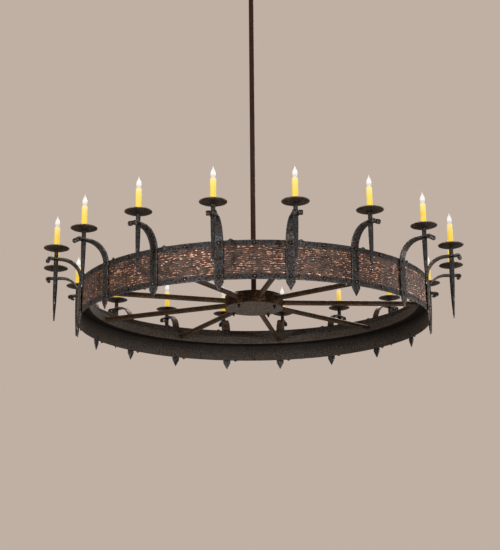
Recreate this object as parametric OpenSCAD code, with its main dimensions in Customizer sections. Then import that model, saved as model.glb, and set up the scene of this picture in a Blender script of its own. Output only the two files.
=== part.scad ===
// Ring chandelier with forged arms, hung from a ceiling plate by one pipe.
// The origin is the middle of the ceiling plate's upper face, with +Z up and -Y to the front.
// Angles round the ring are measured from the front, growing towards +X.

/* [Ceiling plate and swivel] */
// Drop from the ceiling to the lower edge of the band
drop = 2540; // [1400:10:4000]
// Radius of the ceiling plate
plate_r = 85; // [80:1:92]
// Thickness of the ceiling plate
plate_t = 10; // [8:0.5:12]
// Diameter of the circle of ceiling bolts
bolt_circle_d = 130; // [116:1:140]
// Radius of a ceiling bolt hole
bolt_hole_r = 7; // [5:0.5:8]
// Radius of the hole for the supply wires
wire_hole_r = 11; // [8:0.5:12]
// Distance of the wire hole from the axis
wire_hole_y = 50; // [44:1:56]
// Radius of a swivel pin
pin_r = 7; // [5:0.5:9]
// Radius of the rounded eyes on the swivel
eye_r = 15; // [14:0.5:17]
// Thickness of the swivel link
link_w = 24; // [20:1:28]
// Thickness of one clevis ear
ear_t = 12; // [9:0.5:14]
// Height between the two swivel pins
pin_step = 38; // [36:1:50]
// Height left between the ceiling plate and the upper eyes
swivel_gap = 5; // [4:0.5:8]
// Thickness of a swivel pin's head
pin_head_h = 5; // [4:0.5:7]
// Thickness of a swivel pin's nut
pin_nut_h = 6; // [5:0.5:7]
// Width by which a swivel pin's head stands over its shank
pin_head_w = 4; // [3:0.5:5]

/* [Rod and canopy] */
// Outer radius of the pipes
pipe_r = 16.7; // [14:0.1:18]
// Wall of the pipes
pipe_wall = 3.4; // [2:0.1:4]
// Radius of the canopy at the ceiling
canopy_r = 140; // [125:1:160]
// Depth of the canopy
canopy_h = 152; // [148:1:175]
// Wall of the canopy
canopy_wall = 2; // [1.5:0.1:3]
// Height of the collar under the canopy
collar_h = 22; // [18:1:28]
// Wall of the collar
collar_wall = 9; // [7:0.5:12]
// Wall of the yoke's neck round the rod
yoke_wall = 7; // [5:0.5:9]
// Height of the yoke's neck round the rod
yoke_neck_h = 28; // [22:1:34]
// Thickness of the yoke's crosspiece
yoke_base_h = 12; // [9:0.5:14]
// Depth of the rod's end in the yoke's crosspiece
rod_pocket = 4; // [3:0.5:6]
// Radius of the hole for the wires in the rod's side
wire_cross_r = 6; // [4:0.5:7]
// Radius of the thumb screw's shank
thumb_screw_r = 3; // [2:0.25:4]
// Radius of the thumb screw's knob
thumb_knob_r = 7; // [5:0.5:9]
// Thickness of the thumb screw's knob
thumb_knob_h = 8; // [5:0.5:10]

/* [Band] */
// Outer radius of the copper skin
ring_r = 1130; // [1000:5:1250]
// Height of the band
band_h = 226; // [205:1:245]
// Thickness of the iron band behind the skin
shell_t = 4; // [3:0.25:6]
// Thickness of the copper skin
skin_t = 1.5; // [1:0.1:2]
// Height of a rim strap
rim_h = 32; // [28:1:40]
// Thickness of a rim strap
rim_t = 3.2; // [2.5:0.1:5]
// Distance from the band's edge to a row of rivets
rivet_edge = 17; // [14:1:20]
// Radius of a rivet's shank
rivet_r = 4; // [3:0.25:5]
// Radius of a rivet's head
rivet_head_r = 8; // [7:0.5:10]
// Radius of a forged lobe on the edge of a rim
lobe_r = 15; // [12:0.5:17]
// Height that a lobe stands above the edge
lobe_rise = 9; // [5:0.5:10]
// Angle from an arm to its lobes
lobe_turn = 3.2; // [3:0.1:5]
// Height that a lobe stands proud of the strap's face
lobe_boss = 1.5; // [1:0.25:3]
// Number of lengths that a rim is rolled from, which meet behind arms
rim_lengths = 3; // [2:1:6]

/* [Inner ring] */
// Width of the wire channel between the band and the inner ring
channel_w = 60; // [40:1:90]
// Height of the channel floor above the band's lower edge
channel_z = 113; // [90:1:125]
// Thickness of the channel floor
floor_t = 3; // [2:0.25:5]
// Height of the inner ring's bar
inner_h = 52; // [44:1:60]
// Thickness of the inner ring's bar
inner_t = 6.4; // [5:0.2:9]

/* [Hub] */
// Radius of the hub drum
hub_r = 188; // [165:1:210]
// Height of the hub with its cover
hub_h = 80; // [70:1:95]
// Wall of the hub drum
hub_wall = 5; // [4:0.25:7]
// Thickness of the hub's top plate
hub_top_t = 6; // [5:0.25:8]
// Thickness of the hub cover
cover_t = 5; // [4:0.25:7]
// Radius of the circle of cover bolts
cover_bolt_r = 163; // [145:1:165]
// Angle of the first cover bolt
cover_bolt_turn = 54; // [50:1:58]
// Radius of a hub bolt's shank
hub_bolt_r = 6.35; // [5:0.05:7]
// Radius of the rod flange
flange_r = 51; // [48:1:60]
// Radius of the circle of flange bolts
flange_bolt_r = 38.5; // [38:0.5:41]
// Thickness of the rod flange
flange_t = 8; // [6:0.5:10]
// Height of the rod flange's neck
flange_neck_h = 24; // [18:1:28]
// Wall of the rod flange's neck
flange_wall = 8; // [6:0.5:9]
// Height of the ledge in the rod flange that the rod stands on
rod_ledge = 4; // [3:0.5:5]
// Width of a lug that the hub cover is bolted to
lug_w = 40; // [34:1:48]
// Length of a hub bolt's end past its nut
stud_end = 12; // [6:1:20]
// Height that a spoke climbs from the inner ring to the hub
spoke_rise = 14; // [0:1:18]

/* [Arms] */
// Number of arms and candles
arm_n = 18; // [6:2:20]
// Number of spokes
spoke_n = 9; // [3:1:12]
// Width of an arm's bar
arm_w = 50; // [40:1:56]
// Thickness of an arm's bar
arm_t = 9.5; // [7:0.25:12]
// Height where the arm starts to bend outwards
bend_z = 211; // [205:1:260]
// Inner radius of the bend
bend_r = 113; // [80:1:120]
// Length of the spear point below the band
spear_h = 65; // [50:1:80]
// Extra width of the spear's shoulders on each side
spear_flare = 2; // [0:0.25:4]
// Distance from the spike's axis to the band
reach = 166; // [156:1:200]
// Outer radius of an end curl
curl_r = 15; // [13:0.5:18]
// Thickness of the drawn-out end in the curl
curl_t = 7; // [5:0.25:9]
// Distance from the spike's axis to the middle of the curl
curl_step = 45; // [42:1:60]
// Width of the flared end across both curls
end_w = 58; // [50:1:64]
// Width of the slit between the two curls
slit_w = 10; // [6:0.5:14]
// Length of the bar left between the tenon's hole and the slit
slit_land = 12; // [9:0.5:15]
// Width of the blunt tip of the spear point
spear_tip_w = 4; // [2:0.5:8]

/* [Candles] */
// Radius of the spike under the arm
spike_r = 14.5; // [12:0.5:17]
// Radius of the spike's blunt tip
spike_tip_r = 4; // [2:0.25:6]
// Height of the spike's tip above the band's lower edge
spike_tip_z = 42; // [10:1:120]
// Radius of the tenon through the arm
tenon_r = 8; // [7:0.25:9]
// Height of the tenon inside the post
tenon_rise = 24; // [18:1:30]
// Radius of the post between the arm and the drip pan
post_r = 13; // [11:0.25:14]
// Height of the post
post_h = 47; // [40:1:60]
// Radius of the drip pan
pan_r = 78; // [60:1:95]
// Depth of the drip pan
pan_depth = 16; // [8:0.5:20]
// Thickness of the drip pan
pan_t = 2.5; // [1.5:0.25:3.5]
// Radius of the candle sleeve
sleeve_r = 16.5; // [15.5:0.25:19]
// Wall of the candle sleeve
sleeve_wall = 3.5; // [2.5:0.25:4]
// Height of the candle sleeve
sleeve_h = 148; // [110:1:200]
// Radius of the lamp socket
socket_r = 10.5; // [9.5:0.25:11]
// Height of the lamp socket
socket_h = 32; // [28:1:38]
// Depth of the socket's mouth below the sleeve's upper edge
socket_drop = 5; // [3:0.5:8]
// Height of the nut that clamps the drip pan
pan_nut_h = 10; // [6:0.5:14]
// Width of the nut that clamps the drip pan round the nipple
pan_nut_w = 4; // [3:0.25:5]
// Radius of the wire nipple under the socket
nipple_r = 5; // [4:0.25:5.5]
// Radius of a bulb's metal base
base_r = 5.95; // [5.5:0.05:7]
// Length of a bulb's metal base
base_h = 22; // [18:1:24]
// Radius of a bulb's glass
bulb_r = 14; // [11:0.25:17]
// Height of a bulb's glass
bulb_h = 82; // [60:1:95]

/* [Hidden] */
$fn = 64;
// Gap left between two pieces that rest on each other
seat = 0.3;
// Radial clearance of a running fit
run_fit = 0.05;
// Radial clearance of a fastener in its hole
hole_fit = 0.2;
// Length by which a cut runs past the faces that it opens
cut = 1;

ring_z = -drop;
shell_out_r = ring_r - skin_t - seat;
shell_in_r = shell_out_r - shell_t;
rim_in_r = ring_r + seat;
rim_out_r = rim_in_r + rim_t;
lobe_root = 0.5;
arm_in_x = rim_out_r + seat;
arm_out_x = arm_in_x + arm_t;
arm_top_z = bend_z + bend_r + arm_t;
spike_x = ring_r + reach;
bend_x = arm_out_x + bend_r;
curl_x = spike_x + curl_step;
curl_z = arm_top_z - curl_r;
curl_tuck = 195;

inner_out_r = shell_in_r - channel_w;
inner_in_r = inner_out_r - inner_t;
spoke_z = channel_z + inner_h / 2;
hub_top_z = channel_z + hub_h;
grip = flange_t + seat + hub_top_t;
lug_t = grip - seat - cover_t;
nut_r = hub_bolt_r * 1.72;
nut_h = hub_bolt_r * 1.7;
head_h = hub_bolt_r * 1.25;

pin_low_z = -plate_t - eye_r - swivel_gap;
pin_two_z = pin_low_z - pin_step;
ear_x = link_w / 2 + seat;
eye_clear = 3;
yoke_base_z = pin_two_z - eye_r - eye_clear;
rod_top_z = yoke_base_z - yoke_base_h + rod_pocket;
yoke_end_z = yoke_base_z - yoke_base_h - yoke_neck_h;
rod_end_z = ring_z + hub_top_z + seat + rod_ledge;
rod_len = rod_top_z - rod_end_z;
canopy_top_z = -0.5;
canopy_end_z = canopy_top_z - canopy_h;
canopy_lip = 10;
canopy_fit = 0.8;
canopy_ledge = 4;
canopy_neck_r = pipe_r + collar_wall + canopy_ledge;
collar_step = 2;
collar_step_h = 3;
collar_z = canopy_end_z - seat - collar_h;

post_z = arm_top_z + seat;
pan_z = post_z + post_h + seat;
pan_seat_w = 3;
pan_seat_r = post_r + pan_seat_w;
sleeve_z = pan_z + pan_t + seat;
sleeve_top_z = sleeve_z + sleeve_h;
socket_top_z = sleeve_top_z - socket_drop;
socket_z = socket_top_z - socket_h;
base_z = socket_top_z - base_h;
glass_z = socket_top_z + seat;
tenon_h = arm_t + tenon_rise;
nipple_gap = 4;

iron = "#41423f";
rust_iron = "#4b3f36";
copper = "#7a5340";
pipe_brown = "#54382d";

function two_digits(i) = str(i < 10 ? "0" : "", i);
function arm_name(i) = str("arm_", two_digits(i));
function bulb_name(i) = str("bulb_", two_digits(i));

// Angle of arm i from the front
function arm_angle(i) = (i - 0.5) * 360 / arm_n;
// Angle of spoke i from the front, so that each spoke ends behind an arm
function spoke_angle(i) = (i - 1) * 360 / spoke_n + 180 / arm_n;

// Angle of the butt joint at the end of a rim's length k, between an arm's rivet and the arm's edge
function rim_joint_angle(k) =
    arm_angle(1 + floor(k * arm_n / rim_lengths)) + asin((rivet_r + arm_w / 2) / 2 / ring_r);

// Turns a piece that lies along +X to an angle measured from the front
module facing(angle) {
    rotate([0, 0, angle - 90]) children();
}

// One copy for each arm
module at_arms() {
    for (i = [1:arm_n]) facing(arm_angle(i)) children();
}

// One copy halfway between each two arms
module between_arms() {
    for (i = [1:arm_n]) facing(arm_angle(i) + 180 / arm_n) children();
}

// Extrudes an outline of X and Z to a width along Y
module upright(width) {
    rotate([90, 0, 0]) linear_extrude(height = width, center = true) children();
}

// Cylinder along X that starts at x
module rod_x(x, length, radius) {
    translate([x, 0, 0]) rotate([0, 90, 0]) cylinder(h = length, r = radius);
}

// Round band between two radii
module hoop(inner, outer, height) {
    rotate_extrude($fn = 360) translate([inner, 0]) square([outer - inner, height]);
}

// Two rounded ears along X that reach from height top down to the pin at the origin
module ears(top) {
    for (side = [-1, 1]) {
        translate([side * (ear_x + ear_t / 2), 0, 0]) {
            rod_x(-ear_t / 2, ear_t, eye_r);
            translate([-ear_t / 2, -eye_r, min(0, top)]) cube([ear_t, 2 * eye_r, abs(top)]);
        }
    }
}

module ceiling_plate() {
    color(iron) difference() {
        union() {
            translate([0, 0, -plate_t]) cylinder(h = plate_t, r = plate_r);
            translate([0, 0, pin_low_z]) ears(-plate_t - pin_low_z);
        }
        translate([0, 0, pin_low_z])
            rod_x(-ear_x - ear_t - cut, 2 * (ear_x + ear_t + cut), pin_r + run_fit);
        for (turn = [45:90:315]) {
            rotate([0, 0, turn]) translate([bolt_circle_d / 2, 0, -plate_t - cut])
                cylinder(h = plate_t + 2 * cut, r = bolt_hole_r);
        }
        translate([0, wire_hole_y, -plate_t - cut]) cylinder(h = plate_t + 2 * cut, r = wire_hole_r);
    }
}

// Forged link with one eye across the other
module swivel_link() {
    color(iron) difference() {
        union() {
            translate([0, 0, pin_low_z]) rod_x(-link_w / 2, link_w, eye_r);
            translate([0, 0, pin_two_z]) rotate([0, 0, 90]) rod_x(-link_w / 2, link_w, eye_r);
            translate([-link_w / 2, -link_w / 2, pin_two_z]) cube([link_w, link_w, pin_step]);
        }
        translate([0, 0, pin_low_z]) rod_x(-eye_r - cut, 2 * (eye_r + cut), pin_r + run_fit);
        translate([0, 0, pin_two_z]) rotate([0, 0, 90])
            rod_x(-eye_r - cut, 2 * (eye_r + cut), pin_r + run_fit);
    }
}

// Pin along X with a round head and a hexagon nut
module swivel_pin() {
    half = ear_x + ear_t + seat;
    rod_x(-half, 2 * half + pin_nut_h + cut, pin_r);
    rod_x(-half - pin_head_h, pin_head_h, pin_r + pin_head_w);
    translate([half, 0, 0]) rotate([0, 90, 0]) cylinder(h = pin_nut_h, r = 1.7 * pin_r, $fn = 6);
}

module swivel_pins() {
    color("#6b6862") {
        translate([0, 0, pin_low_z]) swivel_pin();
        translate([0, 0, pin_two_z]) rotate([0, 0, 90]) swivel_pin();
    }
}

module rod_yoke() {
    color(iron) difference() {
        union() {
            translate([0, 0, pin_two_z]) rotate([0, 0, 90]) ears(yoke_base_z - pin_two_z);
            translate([-eye_r, -ear_x - ear_t, yoke_base_z - yoke_base_h])
                cube([2 * eye_r, 2 * (ear_x + ear_t), yoke_base_h]);
            translate([0, 0, yoke_end_z]) cylinder(h = yoke_neck_h + yoke_base_h, r = pipe_r + yoke_wall);
        }
        translate([0, 0, pin_two_z]) rotate([0, 0, 90])
            rod_x(-ear_x - ear_t - cut, 2 * (ear_x + ear_t + cut), pin_r + run_fit);
        translate([0, 0, yoke_end_z - cut])
            cylinder(h = rod_top_z + seat - yoke_end_z + cut, r = pipe_r + hole_fit);
    }
}

// Pipe with a cross hole under the yoke, where the supply wires go in
module downrod() {
    color(pipe_brown) difference() {
        translate([0, 0, rod_end_z]) cylinder(h = rod_len, r = pipe_r);
        translate([0, 0, rod_end_z - cut]) cylinder(h = rod_len + 2 * cut, r = pipe_r - pipe_wall);
        translate([0, 0, yoke_end_z - 1.5 * wire_cross_r]) rod_x(0, pipe_r + cut, wire_cross_r);
    }
}

// Height and radius of the bell at a share of its depth, shrunk by an inset
function bell(share, inset) = [
    canopy_neck_r + (canopy_r - canopy_neck_r) * (1 + cos(180 * share)) / 2 - inset,
    canopy_top_z - canopy_lip - share * (canopy_h - canopy_lip) + (share > 0 ? inset * share : 0)
];
bell_steps = 12;

module canopy() {
    color(pipe_brown) rotate_extrude() polygon(concat(
        [[canopy_r, canopy_top_z]],
        [for (k = [0:bell_steps]) bell(k / bell_steps, 0)],
        [[pipe_r + canopy_fit, canopy_end_z], [pipe_r + canopy_fit, canopy_end_z + canopy_wall]],
        [for (k = [bell_steps:-1:0]) bell(k / bell_steps, canopy_wall)],
        [[canopy_r - canopy_wall, canopy_top_z]]
    ));
}

// Slip collar that carries the canopy, with its thumb screw
module canopy_collar() {
    out_r = pipe_r + collar_wall;
    mid_z = collar_z + collar_h / 2;
    color(pipe_brown) difference() {
        union() {
            translate([0, 0, collar_z + collar_step_h]) cylinder(h = collar_h - 2 * collar_step_h, r = out_r);
            translate([0, 0, collar_z]) cylinder(h = collar_h, r = out_r - collar_step);
        }
        translate([0, 0, collar_z - cut]) cylinder(h = collar_h + 2 * cut, r = pipe_r + run_fit);
        translate([0, 0, mid_z]) rod_x(0, out_r + cut, thumb_screw_r + hole_fit);
    }
    color("#6b6862") translate([0, 0, mid_z]) {
        rod_x(pipe_r + seat, collar_wall + thumb_knob_h / 2, thumb_screw_r);
        rod_x(out_r + collar_step, thumb_knob_h, thumb_knob_r);
    }
}

module rod_flange() {
    color(pipe_brown) translate([0, 0, ring_z + hub_top_z + seat]) difference() {
        union() {
            cylinder(h = flange_t, r = flange_r);
            cylinder(h = flange_t + flange_neck_h, r = pipe_r + flange_wall);
        }
        translate([0, 0, rod_ledge - seat]) cylinder(h = flange_t + flange_neck_h, r = pipe_r + hole_fit);
        translate([0, 0, -cut]) cylinder(h = flange_t, r = pipe_r - pipe_wall);
        for (turn = [45:90:315]) {
            rotate([0, 0, turn]) translate([flange_bolt_r, 0, -cut])
                cylinder(h = flange_t + 2 * cut, r = hub_bolt_r + hole_fit);
        }
    }
}

// One copy at each bolt of the hub cover
module at_cover_bolts() {
    for (turn = [0:90:270]) facing(cover_bolt_turn + turn) translate([cover_bolt_r, 0, 0]) children();
}

module hub_drum() {
    low = channel_z + cover_t + seat;
    color(rust_iron) translate([0, 0, ring_z]) difference() {
        union() {
            translate([0, 0, low]) hoop(hub_r - hub_wall, hub_r, hub_top_z - low);
            translate([0, 0, hub_top_z - hub_top_t]) cylinder(h = hub_top_t, r = hub_r - hub_wall / 2);
            // lugs inside the wall that the cover is bolted to
            intersection() {
                at_cover_bolts() translate([-lug_w / 2, -lug_w / 2, low]) cube([2 * lug_w, lug_w, lug_t]);
                translate([0, 0, low]) cylinder(h = lug_t, r = hub_r - hub_wall / 2);
            }
        }
        at_cover_bolts() translate([0, 0, low - cut])
            cylinder(h = lug_t + 2 * cut, r = hub_bolt_r + hole_fit);
        translate([0, 0, hub_top_z - hub_top_t - cut])
            cylinder(h = hub_top_t + 2 * cut, r = pipe_r - pipe_wall);
        for (turn = [45:90:315]) {
            rotate([0, 0, turn]) translate([flange_bolt_r, 0, hub_top_z - hub_top_t - cut])
                cylinder(h = hub_top_t + 2 * cut, r = hub_bolt_r + hole_fit);
        }
        for (i = [1:spoke_n]) facing(spoke_angle(i)) translate([0, 0, spoke_z + spoke_rise])
            rod_x(hub_r - hub_wall - cut, hub_wall + 2 * cut, pipe_r - pipe_wall);
    }
}

module hub_cover() {
    color(rust_iron) translate([0, 0, ring_z + channel_z]) difference() {
        cylinder(h = cover_t, r = hub_r);
        at_cover_bolts() translate([0, 0, -cut]) cylinder(h = cover_t + 2 * cut, r = hub_bolt_r + hole_fit);
    }
}

// Bolt along -Z: its head rests above the grip and its nut is below
module hub_bolt() {
    translate([0, 0, seat]) cylinder(h = head_h, r = nut_r, $fn = 6);
    translate([0, 0, -grip - seat - nut_h - stud_end])
        cylinder(h = grip + 2 * seat + nut_h + stud_end, r = hub_bolt_r);
    translate([0, 0, -grip - seat - nut_h]) cylinder(h = nut_h, r = nut_r, $fn = 6);
}

module hub_bolts() {
    color(iron) translate([0, 0, ring_z]) {
        at_cover_bolts() translate([0, 0, channel_z + grip]) hub_bolt();
        for (turn = [45:90:315]) {
            rotate([0, 0, turn]) translate([flange_bolt_r, 0, hub_top_z - hub_top_t])
                rotate([180, 0, 0]) hub_bolt();
        }
    }
}

// Pipe that climbs from the inner ring to the hub's wall, cut round at both ends
module spoke() {
    slope = atan(spoke_rise / (inner_in_r - hub_r));
    tall = pipe_r + 2 * spoke_rise + cut;
    difference() {
        intersection() {
            translate([inner_in_r, 0, 0]) rotate([0, slope, 0])
                rod_x(-inner_in_r, inner_in_r + 2 * cut, pipe_r);
            translate([0, 0, -tall]) cylinder(h = 2 * tall, r = inner_in_r - seat, $fn = 720);
        }
        translate([inner_in_r, 0, 0]) rotate([0, slope, 0])
            rod_x(-inner_in_r - cut, inner_in_r + 4 * cut, pipe_r - pipe_wall);
        translate([0, 0, -tall]) cylinder(h = 2 * tall, r = hub_r + seat, $fn = 360);
    }
}

module spokes() {
    color(rust_iron) translate([0, 0, ring_z + spoke_z]) {
        for (i = [1:spoke_n]) facing(spoke_angle(i)) spoke();
    }
}

module inner_ring() {
    color(rust_iron) translate([0, 0, ring_z]) difference() {
        translate([0, 0, channel_z]) hoop(inner_in_r, inner_out_r, inner_h);
        for (i = [1:spoke_n]) facing(spoke_angle(i)) translate([0, 0, spoke_z])
            rod_x(inner_in_r - cut, inner_t + 2 * cut, pipe_r - pipe_wall);
    }
}

module channel_floor() {
    color(rust_iron) translate([0, 0, ring_z + channel_z])
        hoop(inner_out_r + seat, shell_in_r - seat, floor_t);
}

// One copy at each rivet height, upwards from the band's lower edge
module at_rivet_rows() {
    for (z = [rivet_edge, band_h - rivet_edge]) translate([0, 0, z]) children();
}

// Holes through the band for every rivet
module rivet_holes(inner, outer) {
    at_rivet_rows() {
        at_arms() rod_x(inner - cut, outer - inner + 2 * cut, rivet_r + hole_fit);
        between_arms() rod_x(inner - cut, outer - inner + 2 * cut, rivet_r + hole_fit);
    }
}

module band_shell() {
    color(rust_iron) translate([0, 0, ring_z]) difference() {
        hoop(shell_in_r, shell_out_r, band_h);
        rivet_holes(shell_in_r, shell_out_r);
    }
}

module copper_skin() {
    color(copper) translate([0, 0, ring_z]) difference() {
        hoop(ring_r - skin_t, ring_r, band_h);
        rivet_holes(ring_r - skin_t, ring_r);
    }
}

// Rim strap whose lower edge is at the origin, with a forged lobe beside each arm
module rim_strap(lobe_z, lobe_side) {
    foot = rim_in_r + lobe_root;
    difference() {
        union() {
            hoop(rim_in_r, rim_out_r, rim_h);
            for (i = [1:arm_n]) {
                facing(arm_angle(i) + lobe_side * lobe_turn) translate([0, 0, lobe_z])
                    rod_x(foot, rim_out_r + lobe_boss - foot, lobe_r);
            }
        }
        for (k = [1:rim_lengths]) facing(rim_joint_angle(k)) translate([rim_in_r - cut, -seat / 2, -cut])
            cube([rim_t + 2 * cut, seat, rim_h + 2 * cut]);
    }
}

module top_rim() {
    color(iron) translate([0, 0, ring_z]) difference() {
        translate([0, 0, band_h - rim_h]) rim_strap(rim_h + lobe_rise - lobe_r, 1);
        rivet_holes(rim_in_r, rim_out_r);
    }
}

module bottom_rim() {
    color(iron) translate([0, 0, ring_z]) difference() {
        rim_strap(lobe_r - lobe_rise, -1);
        rivet_holes(rim_in_r, rim_out_r);
    }
}

// Outline of a rivet's domed head on its flat face
module dome() {
    rise = rivet_head_r * 0.6;
    ball = (rivet_head_r * rivet_head_r + rise * rise) / (2 * rise);
    intersection() {
        translate([0, rise - ball]) circle(r = ball);
        square([rivet_head_r, rise]);
    }
}

// Rivet along X that clamps from the face at low to the face at high
module rivet(low, high) {
    grip_len = high - low + 2 * seat;
    translate([low - seat, 0, 0]) rotate([0, 90, 0]) rotate_extrude() {
        square([rivet_r, grip_len]);
        translate([0, grip_len]) dome();
        mirror([0, 1]) dome();
    }
}

module rivets() {
    color(iron) translate([0, 0, ring_z]) at_rivet_rows() {
        at_arms() rivet(shell_in_r, arm_out_x);
        between_arms() rivet(shell_in_r, rim_out_r);
    }
}

// Side outline of the bent bar, in X and Z
module arm_side() {
    translate([arm_in_x, 0]) square([arm_t, bend_z]);
    intersection() {
        translate([bend_x, bend_z]) difference() {
            circle(r = bend_r + arm_t);
            circle(r = bend_r);
        }
        translate([arm_in_x, bend_z]) square([bend_r + arm_t, bend_r + arm_t]);
    }
    translate([bend_x, arm_top_z - arm_t]) square([curl_x - bend_x, arm_t]);
}

// Side outline of the curled end, wound from its top over the outside and back underneath
module curl_side() {
    far = 3 * curl_r;
    translate([curl_x, curl_z]) difference() {
        circle(r = curl_r);
        circle(r = curl_r - curl_t);
        polygon([
            [0, 0], [0, far], [-far, far],
            [far * cos(curl_tuck), -far * sin(curl_tuck)]
        ]);
    }
}

// Front outline of the spear point, in Y and Z
module spear_front() {
    half = arm_w / 2;
    shoulder = half + spear_flare;
    polygon([
        [-half, 0], [half, 0], [shoulder, -0.25 * spear_h], [0.96 * shoulder, -0.34 * spear_h],
        [0.42 * half, -0.72 * spear_h], [spear_tip_w / 2, -spear_h], [-spear_tip_w / 2, -spear_h],
        [-0.42 * half, -0.72 * spear_h], [-0.96 * shoulder, -0.34 * spear_h], [-shoulder, -0.25 * spear_h]
    ]);
}

// Plan of the bar, which flares from the tenon's hole to the two curls
module arm_plan() {
    half = arm_w / 2;
    end_half = end_w / 2;
    flare_x = spike_x + tenon_r;
    far_x = curl_x + curl_r + cut;
    polygon([
        [arm_in_x - cut, -half], [flare_x, -half], [curl_x, -end_half], [far_x, -end_half],
        [far_x, end_half], [curl_x, end_half], [flare_x, half], [arm_in_x - cut, half]
    ]);
}

module arm(i) {
    slit_x = spike_x + tenon_r + slit_land;
    color(iron) translate([0, 0, ring_z]) facing(arm_angle(i)) difference() {
        union() {
            intersection() {
                upright(2 * end_w) {
                    arm_side();
                    curl_side();
                }
                linear_extrude(height = arm_top_z + cut) arm_plan();
            }
            translate([arm_in_x, 0, 0]) rotate([90, 0, 90]) linear_extrude(height = arm_t) spear_front();
        }
        at_rivet_rows() rod_x(arm_in_x - cut, arm_t + 2 * cut, rivet_r + hole_fit);
        translate([spike_x, 0, arm_top_z - arm_t - cut])
            cylinder(h = arm_t + 2 * cut, r = tenon_r + hole_fit);
        translate([slit_x, -slit_w / 2, curl_z - curl_r - cut])
            cube([curl_x + curl_r - slit_x + cut, slit_w, 2 * (curl_r + cut)]);
    }
}

// Radius of a spike at a share of its height above the tip
function taper(share) = spike_r - (spike_r - spike_tip_r) * pow(1 - share, 2);
taper_steps = 6;

// Spike with a tenon that goes up through the arm into the post
module spike() {
    top = arm_top_z - arm_t - seat;
    tall = top - spike_tip_z;
    translate([spike_x, 0, 0]) rotate_extrude() polygon(concat(
        [[0, spike_tip_z]],
        [for (k = [0:taper_steps]) [taper(k / taper_steps), spike_tip_z + tall * k / taper_steps]],
        [[tenon_r, top], [tenon_r, top + tenon_h], [0, top + tenon_h]]
    ));
}

module spikes() {
    color(iron) translate([0, 0, ring_z]) at_arms() spike();
}

module post() {
    translate([spike_x, 0, post_z]) difference() {
        cylinder(h = post_h, r = post_r);
        translate([0, 0, -cut]) cylinder(h = tenon_h - arm_t + cut, r = tenon_r + hole_fit);
        cylinder(h = post_h + cut, r = nipple_r + hole_fit);
    }
}

module posts() {
    color(iron) translate([0, 0, ring_z]) at_arms() post();
}

// Height of the pan's underside at a distance from its axis
function dish(r) = pan_depth * pow(max(0, r - pan_seat_r) / (pan_r - pan_seat_r), 1.7);
dish_steps = 7;
function dish_r(k) = pan_seat_r + k * (pan_r - pan_seat_r) / dish_steps;

module pan() {
    hole = nipple_r + hole_fit;
    translate([spike_x, 0, pan_z]) rotate_extrude() polygon(concat(
        [[hole, 0]],
        [for (k = [0:dish_steps]) [dish_r(k), dish(dish_r(k))]],
        [for (k = [dish_steps:-1:0]) [dish_r(k), dish(dish_r(k)) + pan_t]],
        [[hole, pan_t]]
    ));
}

module pans() {
    color(rust_iron) translate([0, 0, ring_z]) at_arms() pan();
}

// Lamp socket on its stem, with the wire nipple that goes down into the post
module socket() {
    stem_low = post_z + tenon_rise + nipple_gap;
    translate([spike_x, 0, 0]) difference() {
        union() {
            translate([0, 0, stem_low]) cylinder(h = socket_z - stem_low, r = nipple_r);
            translate([0, 0, sleeve_z]) cylinder(h = pan_nut_h, r = nipple_r + pan_nut_w);
            translate([0, 0, socket_z]) cylinder(h = socket_h, r = socket_r);
        }
        translate([0, 0, base_z - seat]) cylinder(h = base_h + seat + cut, r = base_r + run_fit);
    }
}

module sockets() {
    color("#d8c9a4") translate([0, 0, ring_z]) at_arms() socket();
}

// Candle sleeve with a rounded upper edge
module sleeve() {
    in_r = sleeve_r - sleeve_wall;
    soft = sleeve_wall / 2;
    translate([spike_x, 0, 0]) rotate_extrude() {
        translate([in_r, sleeve_z]) square([sleeve_wall, sleeve_h - soft]);
        translate([in_r + soft, sleeve_top_z - soft]) circle(r = soft);
    }
}

module sleeves() {
    color("#e8b93c") translate([0, 0, ring_z]) at_arms() sleeve();
}

// Radius of the flame-shaped glass at a share of its height
neck_r = 7;
function flame(share) =
    (bulb_r - neck_r * pow(1 - 0.31, 3)) * pow(sin(180 * pow(share, 0.6)), 1.3) + neck_r * pow(1 - share, 3);
flame_steps = 16;

module bulb(i) {
    color("#f7f3ea") translate([0, 0, ring_z]) facing(arm_angle(i)) translate([spike_x, 0, 0]) {
        translate([0, 0, base_z]) cylinder(h = base_h + seat, r = base_r);
        translate([0, 0, glass_z]) rotate_extrude() polygon(concat(
            [[0, 0]],
            [for (k = [0:flame_steps - 1]) [flame(k / flame_steps), bulb_h * k / flame_steps]],
            [[0.6, bulb_h], [0, bulb_h]]
        ));
    }
}

ceiling_plate();
swivel_link();
swivel_pins();
rod_yoke();
downrod();
canopy();
canopy_collar();
rod_flange();
hub_drum();
hub_cover();
hub_bolts();
spokes();
inner_ring();
channel_floor();
band_shell();
copper_skin();
top_rim();
bottom_rim();
rivets();
spikes();
posts();
pans();
sockets();
sleeves();
for (i = [1:arm_n]) {
    arm(i);
    bulb(i);
}
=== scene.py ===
"""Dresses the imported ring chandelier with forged, hammered and waxed surfaces, and lights it as in a studio."""

import logging
import math
from dataclasses import dataclass, field
from enum import Enum
from functools import cached_property
from typing import Self

import bpy
import numpy as np
from mathutils import Matrix, Vector


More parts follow.
